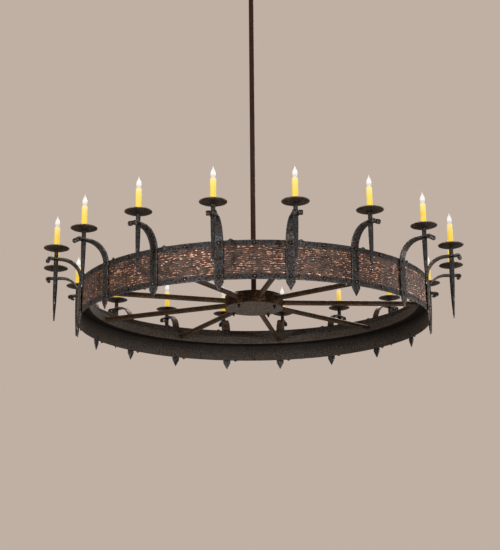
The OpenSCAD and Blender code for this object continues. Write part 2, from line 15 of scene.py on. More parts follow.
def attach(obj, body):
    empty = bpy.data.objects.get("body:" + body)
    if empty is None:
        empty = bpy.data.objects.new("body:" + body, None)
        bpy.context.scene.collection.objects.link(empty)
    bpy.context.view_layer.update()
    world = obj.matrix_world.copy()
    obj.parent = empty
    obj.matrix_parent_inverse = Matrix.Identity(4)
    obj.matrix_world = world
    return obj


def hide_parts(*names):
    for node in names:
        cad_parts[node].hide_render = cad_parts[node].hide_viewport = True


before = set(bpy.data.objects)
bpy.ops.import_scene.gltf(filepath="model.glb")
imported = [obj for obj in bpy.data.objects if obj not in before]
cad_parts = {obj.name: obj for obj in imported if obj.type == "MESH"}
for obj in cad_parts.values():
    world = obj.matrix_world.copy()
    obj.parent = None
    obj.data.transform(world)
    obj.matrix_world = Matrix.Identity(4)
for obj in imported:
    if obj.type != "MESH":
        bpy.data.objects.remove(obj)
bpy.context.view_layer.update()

LEVEL = (1.0, 1.0, 0.0)
NO_FACES = np.zeros((0, 3), np.int64)

Array = np.ndarray
Colour = tuple[int, int, int]
Outline = list[tuple[float, float]]
Material = bpy.types.Material
Piece = bpy.types.Object
Socket = bpy.types.NodeSocket

log = logging.getLogger("chandelier")


class Slot(Enum):
    """The record's material slots."""

    FORGED_IRON = "forged_iron"
    RUSTED_STEEL = "rusted_steel"
    HAMMERED_COPPER = "hammered_copper"
    BROWN_STEEL = "brown_steel"
    BLACK_STEEL = "black_steel"
    BRIGHT_STEEL = "bright_steel"
    SOCKET_RESIN = "socket_resin"
    CANDLE_RESIN = "candle_resin"
    BULB_GLASS = "bulb_glass"


class Body(Enum):
    """The bodies that the pieces ride on. Each bulb has one more of its own."""

    FIXTURE = "fixture"
    CANOPY = "canopy_set"


class Axis(Enum):
    """The line that a copied piece is turned about to make it differ from its neighbours."""

    NONE = (0.0, 0.0, 0.0)
    OUTWARDS = (1.0, 0.0, 0.0)
    UPWARDS = (0.0, 0.0, 1.0)


@dataclass(frozen=True)
class Plan:
    """Sizes that several sub-assemblies share, in metres, as the part's source has them."""

    ring_z: float = -2.540
    arms: int = 18
    spokes: int = 9
    ring_r: float = 1.130
    shell_in_r: float = 1.1242
    shell_out_r: float = 1.1282
    rim_in_r: float = 1.1303
    rim_out_r: float = 1.1335
    arm_in_x: float = 1.1338
    arm_out_x: float = 1.1433
    band_h: float = 0.226
    rim_h: float = 0.032
    rivet_edge: float = 0.017
    channel_z: float = 0.113
    inner_in_r: float = 1.0578
    inner_out_r: float = 1.0642
    inner_h: float = 0.052
    spike_x: float = 1.296
    arm_top_z: float = 0.3335
    pipe_r: float = 0.0167
    hub_r: float = 0.188
    hub_top_z: float = 0.193
    spoke_rise: float = 0.014
    seat: float = 0.0003

    def arm_angle(self, number: float) -> float:
        """Angle of an arm from the front, growing towards +X."""
        return math.radians((number - 0.5) * 360 / self.arms)

    @property
    def spoke_z(self) -> float:
        """Height of the spokes' axes above the band's lower edge."""
        return self.channel_z + self.inner_h / 2


PLAN = Plan()


# Noise and shapes in numpy


def lattice_value(cell: Array, seed: int) -> Array:
    """Gives each whole-numbered cell its own repeatable number.

    Args:
        cell: Whole numbers, three for each point.
        seed: Picks one set of numbers.

    Returns:
        Numbers from 0 to 1.
    """
    mixed = (cell[..., 0] * 73856093) ^ (cell[..., 1] * 19349663) ^ (cell[..., 2] * 83492791)
    mixed = (mixed ^ (seed * 40503 + 977)) & 0xFFFFFFFF
    for shift, factor in ((15, 0x2C1B3C6D), (12, 0x297A2D39)):
        mixed = ((mixed ^ (mixed >> shift)) * factor) & 0xFFFFFFFF
    return ((mixed ^ (mixed >> 15)) & 0xFFFFFF) / 0xFFFFFF


def bumps(points: Array, size: float, seed: int) -> Array:
    """Smooth noise.

    Args:
        points: Places in metres, three numbers each.
        size: Distance between bumps in metres.
        seed: Picks one field of noise.

    Returns:
        Numbers from -1 to 1.
    """
    scaled = points / size
    cell = np.floor(scaled).astype(np.int64)
    share = scaled - cell
    share = share * share * share * (share * (share * 6 - 15) + 10)
    total = np.zeros(points.shape[:-1])
    for corner in range(8):
        step = np.array([corner & 1, corner >> 1 & 1, corner >> 2])
        weight = np.where(step == 1, share, 1 - share).prod(axis=-1)
        total += weight * lattice_value(cell + step, seed)
    return 2 * total - 1


def layers(points: Array, size: float, seed: int, count: int = 2) -> Array:
    """Adds layers of noise from -1 to 1, each half as large and half as strong as the last."""
    total = sum(bumps(points, size / 2**k, seed + 31 * k) / 2**k for k in range(count))
    return total / (2 - 2 ** (1 - count))


def ease(value: Array, low: float, high: float) -> Array:
    """Rises smoothly from 0 at low to 1 at high."""
    share = np.clip((value - low) / (high - low), 0, 1)
    return share * share * (3 - 2 * share)


def from_axis(points: Array) -> Array:
    """Distance of points from the upright axis."""
    return np.linalg.norm(points[..., :2], axis=-1)


def around_axis(points: Array) -> Array:
    """Angle of points from the front, growing towards +X."""
    return np.arctan2(points[..., 0], -points[..., 1])


def facing(points: Array, angle: Array | float) -> Array:
    """Turns points made along +X to an angle measured from the front.

    Args:
        points: Places whose X is outwards and whose Y is along the ring.
        angle: Angle from the front in radians.

    Returns:
        The places in the object's frame.
    """
    x, y, z = points[..., 0], points[..., 1], points[..., 2]
    sine, cosine = np.sin(angle), np.cos(angle)
    return np.stack([x * sine + y * cosine, -x * cosine + y * sine, z + 0 * sine], axis=-1)


def box_outline(low: tuple[float, float], high: tuple[float, float], corner: float, steps: tuple[int, int]) -> Array:
    """Outline of a rectangle with rounded corners.

    Args:
        low: Lower corner, as radius and height.
        high: Upper corner.
        corner: Radius of the corners.
        steps: Number of pieces that the flat and the upright sides are cut into.

    Returns:
        Points of radius and height, against the clock.
    """
    left, right, under, over = low[0] + corner, high[0] - corner, low[1] + corner, high[1] - corner
    arcs = []
    for x, z, start in ((right, under, -90), (right, over, 0), (left, over, 90), (left, under, 180)):
        turn = np.radians([0, 30, 60, 90]) + math.radians(start)
        arcs.append(np.stack([x + corner * np.cos(turn), z + corner * np.sin(turn)], axis=-1))
    points = []
    for number, arc in enumerate(arcs):
        pieces = steps[1 - number % 2]
        share = np.arange(1, pieces)[:, None] / pieces
        points += [arc, arc[-1] + share * (arcs[(number + 1) % 4][0] - arc[-1])]
    return np.concatenate(points)


def turned(outline: Array | Outline, turns: Array | int) -> Array:
    """Carries an outline round the upright axis.

    Args:
        outline: Points of radius and height.
        turns: Angles from the front, or the number of equal steps.

    Returns:
        Places in an array of turns by points.
    """
    line = np.asarray(outline, float)
    if isinstance(turns, int):
        turns = np.arange(turns) * math.tau / turns
    flat = np.stack([line[:, 0], 0 * line[:, 0], line[:, 1]], axis=-1)
    return facing(flat[None], np.asarray(turns)[:, None])


def spun(outline: Array | Outline, steps: int) -> Array:
    """Carries an outline round the upright axis, and gives one ring for each of its points."""
    return np.swapaxes(turned(outline, steps), 0, 1)


def swelled(points: Array, height: Array) -> Array:
    """Moves points away from the upright axis by a height."""
    flat = points * LEVEL
    return points + flat / np.maximum(np.linalg.norm(flat, axis=-1, keepdims=True), 1e-9) * height[..., None]


# Node trees and finishes


def linear(colour: Colour) -> tuple[float, float, float, float]:
    """Turns a colour as seen on a screen into the light values that a shader takes."""
    shares = [c / 255 for c in colour]
    return (*[s / 12.92 if s <= 0.04045 else ((s + 0.055) / 1.055) ** 2.4 for s in shares], 1.0)


@dataclass
class Graph:
    """Short ways to add the nodes of a tree and to join them."""

    tree: bpy.types.NodeTree

    def fill(self, node: bpy.types.Node, sockets: dict) -> None:
        """Gives a node's inputs their values.

        Args:
            node: The node.
            sockets: Values, or other nodes' outputs, by input name or number.
        """
        for key, value in sockets.items():
            if isinstance(value, Socket):
                self.tree.links.new(value, node.inputs[key])
            else:
                node.inputs[key].default_value = value

    def add(self, kind: str, sockets: dict | None = None, **settings: object) -> bpy.types.Node:
        """Adds a node.

        Args:
            kind: Blender's name for the node.
            sockets: Values, or other nodes' outputs, by input name or number.
            settings: The node's own settings.

        Returns:
            The node.
        """
        node = self.tree.nodes.new(kind)
        for name, value in settings.items():
            setattr(node, name, value)
        self.fill(node, sockets or {})
        return node

    def math(self, operation: str, first: object, second: object = 0.0) -> Socket:
        """Joins two numbers by a sum or another operation."""
        return self.add("ShaderNodeMath", {0: first, 1: second}, operation=operation).outputs[0]

    def plus(self, first: object, second: object) -> Socket:
        """Adds two numbers."""
        return self.math("ADD", first, second)

    def times(self, first: object, second: object) -> Socket:
        """Multiplies two numbers."""
        return self.math("MULTIPLY", first, second)

    def scaled(self, vector: object, scale: object) -> Socket:
        """Multiplies a vector or a colour by a number."""
        return self.add("ShaderNodeVectorMath", {0: vector, "Scale": scale}, operation="SCALE").outputs[0]

    def blend(self, share: object, first: object, second: object) -> Socket:
        """Mixes two colours by a share."""
        return self.add("ShaderNodeMix", {0: share, 6: first, 7: second}, data_type="RGBA").outputs[2]

    def spread(
        self, value: object, low: float, high: float, start: float = 0.0, end: float = 1.0, way: str = "SMOOTHSTEP"
    ) -> Socket:
        """Stretches the numbers from low to high so that they run from start to end."""
        sockets = {0: value, 1: low, 2: high, 3: start, 4: end}
        return self.add("ShaderNodeMapRange", sockets, interpolation_type=way).outputs[0]

    def noise(self, place: object, size: float, detail: float = 4.0, rough: float = 0.55) -> Socket:
        """Noise whose bumps are about size metres apart."""
        sockets = {"Vector": place, "Scale": 1 / size, "Detail": detail, "Roughness": rough}
        return self.add("ShaderNodeTexNoise", sockets).outputs[0]

    def dents(self, place: object, size: float) -> Socket:
        """Rounded hammer dents about size metres across."""
        sockets = {"Vector": place, "Scale": 1 / size, "Smoothness": 0.6}
        return self.add("ShaderNodeTexVoronoi", sockets, feature="SMOOTH_F1").outputs[0]

    def relief(self, depth: float, height: Socket, under: Socket | None = None) -> Socket:
        """Raises a face by a depth in metres, over another relief where one is given."""
        sockets = {"Strength": 1.0, "Distance": depth, "Height": height} | ({"Normal": under} if under else {})
        return self.add("ShaderNodeBump", sockets).outputs[0]

    def trait(self, name: str) -> Socket:
        """Reads a number that the mesh holds at each point."""
        return self.add("ShaderNodeAttribute", attribute_name=name).outputs["Fac"]


def new_material(name: str) -> tuple[Material, Graph, bpy.types.Node, Socket]:
    """Starts a material.

    Args:
        name: Name of the material.

    Returns:
        The material, its graph, its shader node and the object coordinates.
    """
    material = bpy.data.materials.new(name)
    material.use_nodes = True
    graph = Graph(material.node_tree)
    return material, graph, graph.tree.nodes["Principled BSDF"], graph.add("ShaderNodeTexCoord").outputs["Object"]


@dataclass(frozen=True)
class PatinatedMetal:
    """Metal with a mottled patina, rust in specks and on hidden faces, worn edges with a painted highlight on rivet
    crowns, dirt with painted shade, and a dented face.
    """

    name: str
    ground: Colour
    second: Colour
    speck: Colour
    worn: Colour
    speck_from: float = 0.62
    patch: float = 0.055
    grain: float = 0.007
    dent: float = 0.014
    dent_depth: float = 0.0006
    pit_depth: float = 0.0004
    speckle: float = 0.45
    gloss: tuple[float, float] = (0.38, 0.62)
    metallic: float = 0.45
    specular: float = 0.3

    def make(self) -> Material:
        """Builds the material.

        Returns:
            The material, not yet on a piece.
        """
        material, graph, shader, place = new_material(self.name)
        broad = graph.noise(place, self.patch, 5.0, 0.6)
        fine = graph.noise(place, self.grain, 3.0, 0.6)
        mottle = graph.plus(graph.times(broad, 0.65), graph.times(fine, 0.35))
        colour = graph.blend(graph.spread(mottle, 0.44, 0.60), linear(self.ground), linear(self.second))
        specks = graph.spread(graph.noise(place, self.grain * 1.7, 2.0), self.speck_from, self.speck_from + 0.09)
        colour = graph.blend(specks, colour, linear(self.speck))
        rusty = graph.times(graph.trait("rusty"), graph.spread(broad, 0.3, 0.62, 0.25, 0.85))
        colour = graph.blend(rusty, colour, linear(self.speck))
        # Lightens worn edges; on the rivets' crowns this light colour is a painted highlight.
        colour = graph.blend(graph.trait("wear"), colour, linear(self.worn))
        grain = graph.noise(place, self.grain * 1.2, 1.5)
        shade = graph.spread(grain, 0.34, 0.66, 1 - self.speckle, 1 + self.speckle)
        # Darkens the colour where the mesh asks for it: dirt, and painted shade round rivets, under the channel
        # floor and behind the arms.
        shade = graph.times(shade, graph.spread(graph.trait("grime"), 0.0, 1.0, 1.0, 0.12))
        dents = graph.relief(self.dent_depth, graph.dents(place, self.dent))
        graph.fill(shader, {
            "Base Color": graph.scaled(colour, shade),
            "Roughness": graph.plus(graph.spread(fine, 0.3, 0.7, *self.gloss), graph.times(specks, 0.2)),
            "Normal": graph.relief(self.pit_depth, fine, dents),
            "Metallic": self.metallic, "Specular IOR Level": self.specular, "Specular Tint": (0.5, 0.5, 0.5, 1.0),
        })
        return material


@dataclass(frozen=True)
class RippledCopper:
    """Dark brown copper whose crests are burnished and carry a painted highlight."""

    name: str = "copper_patina"
    patina: Colour = (99, 80, 70)
    deep: Colour = (70, 55, 49)
    rubbed: Colour = (194, 139, 113)
    burnish_glint_colour: Colour = (238, 182, 151)
    grain: float = 0.006
    patch: float = 0.045

    def make(self) -> Material:
        """Builds the material.

        Returns:
            The material, not yet on a piece.
        """
        material, graph, shader, place = new_material(self.name)
        fine = graph.noise(place, self.grain, 3.0, 0.65)
        broad = graph.spread(graph.noise(place, self.patch), 0.4, 0.62)
        colour = graph.blend(broad, linear(self.patina), linear(self.deep))
        crest = graph.trait("crest")
        rubbed = graph.spread(graph.plus(crest, graph.times(fine, 0.5)), 0.38, 0.8)
        colour = graph.blend(rubbed, colour, linear(self.rubbed))
        # Painted highlight: the brightest crests take a pale glint colour over the real burnish.
        burnish_glint = graph.spread(graph.times(crest, graph.plus(fine, 0.35)), 0.42, 0.78)
        colour = graph.blend(burnish_glint, colour, linear(self.burnish_glint_colour))
        shade = graph.spread(graph.noise(place, self.grain * 0.8, 2.0), 0.35, 0.65, 0.72, 1.28)
        shade = graph.times(shade, graph.spread(graph.trait("hollow"), 0.0, 1.0, 1.0, 0.45))
        rough = graph.spread(fine, 0.3, 0.7, 0.46, 0.62)
        graph.fill(shader, {
            "Base Color": graph.scaled(colour, shade),
            "Roughness": graph.math("SUBTRACT", rough, graph.times(burnish_glint, 0.14)),
            "Normal": graph.relief(0.0005, fine), "Metallic": 0.45,
        })
        return material


@dataclass(frozen=True)
class GlowingHeight:
    """Glass lit from inside, and resin with a painted glow; the glow changes with height over a plain body."""

    name: str
    low_z: float
    high_z: float
    stops: tuple[tuple[float, Colour], ...]
    glow: float
    roughness: float
    body: Colour
    streak: float = 0.0

    def make(self) -> Material:
        """Builds the material.

        Returns:
            The material, not yet on a piece.
        """
        material, graph, shader, place = new_material(self.name)
        height = graph.add("ShaderNodeSeparateXYZ", {0: place}).outputs[2]
        share = graph.spread(height, PLAN.ring_z + self.low_z, PLAN.ring_z + self.high_z, way="LINEAR")
        ramp = graph.add("ShaderNodeValToRGB", {0: share})
        while len(ramp.color_ramp.elements) < len(self.stops):
            ramp.color_ramp.elements.new(0.5)
        for element, (position, colour) in zip(ramp.color_ramp.elements, self.stops):
            element.position, element.color = position, linear(colour)
        stretched = graph.add("ShaderNodeMapping", {0: place, 3: (1.0, 1.0, 0.18)}).outputs[0]
        marks = graph.spread(graph.noise(stretched, 0.009, 3.0), 0.35, 0.75, 0.0, self.streak)
        graph.fill(shader, {
            "Emission Color": graph.blend(marks, ramp.outputs[0], linear(self.stops[0][1])),
            "Emission Strength": self.glow, "Base Color": linear(self.body), "Specular IOR Level": 0.3,
            "Roughness": self.roughness, "Normal": graph.relief(0.0004, marks),
        })
        return material


class Finish(Enum):
    """The chandelier's finishes: the record's slot that each belongs to, and its look."""

    IRON = Slot.FORGED_IRON, PatinatedMetal(
        "forged_iron", (59, 60, 62), (59, 51, 45), (102, 76, 58), (112, 108, 104),
        grain=0.008, speckle=0.66, gloss=(0.34, 0.56), metallic=0.5, specular=0.4,
    )
    SPIKE = Slot.FORGED_IRON, PatinatedMetal(
        "spike_iron", (62, 65, 69), (58, 55, 53), (96, 72, 58), (130, 132, 135),
        speckle=0.4, dent_depth=0.0002, pit_depth=0.0002, gloss=(0.20, 0.32), metallic=0.72, specular=0.6,
    )
    # Its worn colour is a painted highlight on the heads' crowns.
    RIVET = Slot.FORGED_IRON, PatinatedMetal(
        "rivet_iron", (36, 35, 35), (31, 28, 26), (76, 56, 44), (146, 140, 134),
        dent_depth=0.0002, gloss=(0.28, 0.44), metallic=0.5, specular=0.5,
    )
    SHELL = Slot.RUSTED_STEEL, PatinatedMetal(
        "rusted_steel", (68, 63, 59), (73, 63, 54), (136, 99, 76), (100, 92, 84),
        speck_from=0.65, dent_depth=0.0003, gloss=(0.5, 0.72), metallic=0.3,
    )
    INNER_RING = Slot.RUSTED_STEEL, PatinatedMetal(
        "ring_steel", (73, 67, 62), (78, 67, 58), (138, 101, 78), (105, 96, 87),
        speck_from=0.65, dent_depth=0.0003, gloss=(0.5, 0.72), metallic=0.3,
    )
    # Painted light: the cover is paler than the hub's wall, standing in for light from below.
    COVER = Slot.RUSTED_STEEL, PatinatedMetal(
        "cover_steel", (104, 96, 87), (93, 84, 75), (116, 100, 86), (120, 111, 102),
        grain=0.012, dent_depth=0.0002, gloss=(0.5, 0.66), metallic=0.3, patch=0.09,
    )
    # Painted shade: the hub's wall is a darker copy of the cover's steel.
    DRUM = Slot.RUSTED_STEEL, PatinatedMetal(
        "drum_steel", (50, 39, 31), (64, 48, 37), (96, 68, 48), (118, 84, 58),
        speckle=0.6, grain=0.011, dent_depth=0.0003, gloss=(0.5, 0.72), metallic=0.3, patch=0.07,
    )
    # Painted shade: the channel's floor is near black, as shade falls between the inner ring and the band.
    CHANNEL = Slot.RUSTED_STEEL, PatinatedMetal(
        "channel_steel", (19, 16, 14), (25, 20, 17), (48, 35, 28), (36, 31, 28),
        dent_depth=0.0002, gloss=(0.55, 0.75), metallic=0.4,
    )
    SPOKE = Slot.RUSTED_STEEL, PatinatedMetal(
        "spoke_steel", (84, 66, 50), (64, 52, 39), (112, 82, 58), (118, 86, 60),
        speckle=0.35, grain=0.01, dent_depth=0.00008, pit_depth=0.00015, gloss=(0.34, 0.5), patch=0.09,
    )
    PAN = Slot.RUSTED_STEEL, PatinatedMetal(
        "pan_steel", (61, 53, 47), (43, 37, 33), (100, 74, 58), (142, 126, 112),
        speckle=0.6, dent_depth=0.0005, gloss=(0.4, 0.62),
    )
    BROWN = Slot.BROWN_STEEL, PatinatedMetal(
        "brown_steel", (70, 47, 39), (62, 42, 35), (84, 58, 48), (96, 74, 62),
        speckle=0.1, dent_depth=0.00002, pit_depth=0.00006, gloss=(0.42, 0.52), metallic=0.35, patch=0.12,
    )
    BLACK = Slot.BLACK_STEEL, PatinatedMetal(
        "black_steel", (40, 39, 39), (34, 32, 31), (64, 50, 42), (96, 92, 88),
        speckle=0.2, dent_depth=0.0001, pit_depth=0.00012, gloss=(0.36, 0.5), metallic=0.6,
    )
    BRIGHT = Slot.BRIGHT_STEEL, PatinatedMetal(
        "bright_steel", (176, 172, 166), (150, 146, 140), (130, 112, 98), (205, 202, 198),
        speckle=0.08, dent_depth=0.00003, pit_depth=0.00006, gloss=(0.26, 0.36), metallic=0.95,
    )
    SOCKET = Slot.SOCKET_RESIN, PatinatedMetal(
        "socket_resin", (228, 216, 186), (218, 204, 172), (206, 190, 156), (236, 226, 200),
        speckle=0.04, dent_depth=0.00002, pit_depth=0.00004, gloss=(0.45, 0.55), metallic=0.0,
    )
    # The sleeves' glow is painted light, paler at the top towards the bulb and deeper near the pan.
    AMBER = Slot.CANDLE_RESIN, GlowingHeight(
        "amber_resin", 0.3839, 0.5319,
        (
            (0.0, (240, 198, 68)), (0.07, (235, 188, 38)), (0.3, (236, 190, 50)),
            (0.6, (239, 196, 74)), (0.85, (246, 210, 124)), (1.0, (251, 222, 164)),
        ),
        glow=0.90, roughness=0.6, body=(160, 158, 84), streak=0.3,
    )
    GLASS = Slot.BULB_GLASS, GlowingHeight(
        "lit_glass", 0.5272, 0.6092,
        (
            (0.0, (196, 178, 160)), (0.1, (214, 200, 188)), (0.24, (208, 200, 194)),
            (0.36, (240, 236, 232)), (0.66, (242, 239, 235)), (1.0, (226, 222, 217)),
        ),
        glow=0.95, roughness=0.35, body=(128, 126, 124),
    )
    COPPER = Slot.HAMMERED_COPPER, RippledCopper()

    def __init__(self, slot: Slot, look: PatinatedMetal | RippledCopper | GlowingHeight) -> None:
        """Keeps the slot and the look under their names."""
        self.slot, self.look = slot, look

    @cached_property
    def material(self) -> Material:
        """The look's material, made once."""
        return self.look.make()


# Meshes


def placed(name: str, data: bpy.types.ID) -> Piece:
    """Makes an object at the origin and puts it into the scene.

    Args:
        name: Name of the object.
        data: Its mesh, camera or lamp.

    Returns:
        The object.
    """
    item = bpy.data.objects.new(name, data)
    bpy.context.scene.collection.objects.link(item)
    return item


def settle(piece: Piece, body: str, slot: Slot, *nodes: str) -> None:
    """Hands a finished piece over to the frame.

    Args:
        piece: The piece, in its place.
        body: The body that it rides on.
        slot: Not used.
        nodes: The nodes that it stands for.
    """
    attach(piece, body)
    if nodes:
        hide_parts(*nodes)
    log.info("%s: %d faces, rides on %s", piece.name, len(piece.data.polygons), body)


@dataclass
class Draft:
    """Closed shells that become one mesh, with the traits that its finish reads at each point."""

    points: list[Array] = field(default_factory=list)
    quads: list[Array] = field(default_factory=list)
    triangles: list[Array] = field(default_factory=list)
    traits: dict[str, list[Array]] = field(default_factory=dict)
    size: int = 0

    def shell(self, points: Array, quads: Array, triangles: Array, **traits: Array) -> Self:
        """Adds one closed shell and turns its faces outwards.

        Args:
            points: Places, three numbers each.
            quads: Four point numbers for each face.
            triangles: Three point numbers for each face.
            traits: Named numbers for each point.

        Returns:
            The draft.
        """
        split = np.concatenate([quads[:, [0, 1, 2]], quads[:, [0, 2, 3]], triangles])
        centred = points - points.mean(axis=0)
        a, b, c = (centred[split[:, k]] for k in range(3))
        if np.einsum("ij,ij->i", a, np.cross(b, c)).sum() < 0:
            quads, triangles = quads[:, ::-1], triangles[:, ::-1]
        self.points.append(points)
        self.quads.append(quads + self.size)
        self.triangles.append(triangles + self.size)
        for name, values in traits.items():
            self.traits.setdefault(name, []).append(np.ravel(values))
        self.size += len(points)
        return self

    def loft(self, rings: Array, wrap: bool, **traits: Array) -> Self:
        """Joins closed rings of points into a shell.

        Args:
            rings: Places in an array of rings by points.
            wrap: Joins the last ring to the first. Without it both end rings are capped.
            traits: Named numbers for each point of the rings.

        Returns:
            The draft.
        """
        rows, columns = rings.shape[:2]
        index = np.arange(rows * columns).reshape(rows, columns)
        low, high = (index, np.roll(index, -1, axis=0)) if wrap else (index[:-1], index[1:])
        quads = np.stack([low, np.roll(low, -1, 1), np.roll(high, -1, 1), high], axis=-1).reshape(-1, 4)
        points = rings.reshape(-1, 3)
        if wrap:
            return self.shell(points, quads, NO_FACES, **traits)
        first, last = index[0], index[-1]
        caps = [
            np.stack([np.roll(first, -1), first, np.full(columns, len(points))], axis=-1),
            np.stack([last, np.roll(last, -1), np.full(columns, len(points) + 1)], axis=-1),
        ]
        padded = {k: np.concatenate([np.ravel(v), [v[0].mean(), v[-1].mean()]]) for k, v in traits.items()}
        points = np.concatenate([points, np.stack([rings[0].mean(axis=0), rings[-1].mean(axis=0)])])
        return self.shell(points, quads, np.concatenate(caps), **padded)

    def plate(self, front: Array, back: Array, cells: Array, **traits: Array) -> Self:
        """Makes a plate of two sheets of points, walled where its cells end.

        Args:
            front: Places of one face in a grid.
            back: Places of the other face.
            cells: Whether each cell of the grid is metal.
            traits: Named numbers for each point of the front grid, then of the back one.

        Returns:
            The draft.
        """
        rows, columns = front.shape[:2]
        top = np.arange(rows * columns).reshape(rows, columns)
        under = top + rows * columns
        framed = np.pad(cells, 1)
        i, j = np.nonzero(cells)
        corners = ((i, j), (i + 1, j), (i + 1, j + 1), (i, j + 1))
        quads = [
            np.stack([top[c] for c in corners], axis=-1),
            np.stack([under[c] for c in corners[::-1]], axis=-1),
        ]
        for side, (down, across) in enumerate(((0, -1), (1, 0), (0, 1), (-1, 0))):
            bare = ~framed[i + 1 + down, j + 1 + across]
            start, end = (tuple(k[bare] for k in corners[(side + s) % 4]) for s in (0, 1))
            quads.append(np.stack([top[end], top[start], under[start], under[end]], axis=-1))
        faces = np.concatenate(quads)
        used, packed = np.unique(faces, return_inverse=True)
        points = np.concatenate([front.reshape(-1, 3), back.reshape(-1, 3)])[used]
        kept = {name: np.ravel(values)[used] for name, values in traits.items()}
        return self.shell(points, packed.reshape(faces.shape), NO_FACES, **kept)

    def make(self, name: str, material: Material | None = None, crease: float = 40) -> Piece:
        """Makes the object.

        Args:
            name: Name of the object and its mesh.
            material: Its finish. A piece that is copied round the ring gets its finish there.
            crease: Faces that meet at more than this angle, in degrees, keep a sharp edge.

        Returns:
            The object, at the origin.
        """
        quads, triangles = np.concatenate(self.quads), np.concatenate(self.triangles)
        mesh = bpy.data.meshes.new(name)
        mesh.vertices.add(self.size)
        mesh.vertices.foreach_set("co", np.concatenate(self.points).astype(np.float32).ravel())
        mesh.loops.add(quads.size + triangles.size)
        mesh.loops.foreach_set("vertex_index", np.concatenate([quads.ravel(), triangles.ravel()]).astype(np.int32))
        starts = np.concatenate([np.arange(len(quads)) * 4, quads.size + np.arange(len(triangles)) * 3])
        mesh.polygons.add(len(starts))
        mesh.polygons.foreach_set("loop_start", starts.astype(np.int32))
        mesh.update(calc_edges=True)
        for trait, values in self.traits.items():
            attribute = mesh.attributes.new(trait, "FLOAT", "POINT")
            attribute.data.foreach_set("value", np.concatenate(values).astype(np.float32))
        mesh.shade_smooth()
        mesh.set_sharp_from_angle(angle=math.radians(crease))
        if material:
            mesh.materials.append(material)
        return placed(name, mesh)

    def hand_over(
        self, name: str, finish: Finish, *nodes: str, crease: float = 50, body: str = Body.FIXTURE.value
    ) -> None:
        """Makes the object in its finish and hands it over to the frame."""
        settle(self.make(name, finish.material, crease), body, finish.slot, *nodes)


@dataclass(frozen=True)
class Setting:
    """How copies of a piece stand round the chandelier's axis. Lengths in metres, angles in radians."""

    count: int
    first_angle: float = 0.0
    radius: float = 0.0
    height: float = 0.0
    rows: int = 1
    row_step: float = 0.0
    spin: Axis = Axis.NONE
    spread: float = 0.0
    seed: int = 1


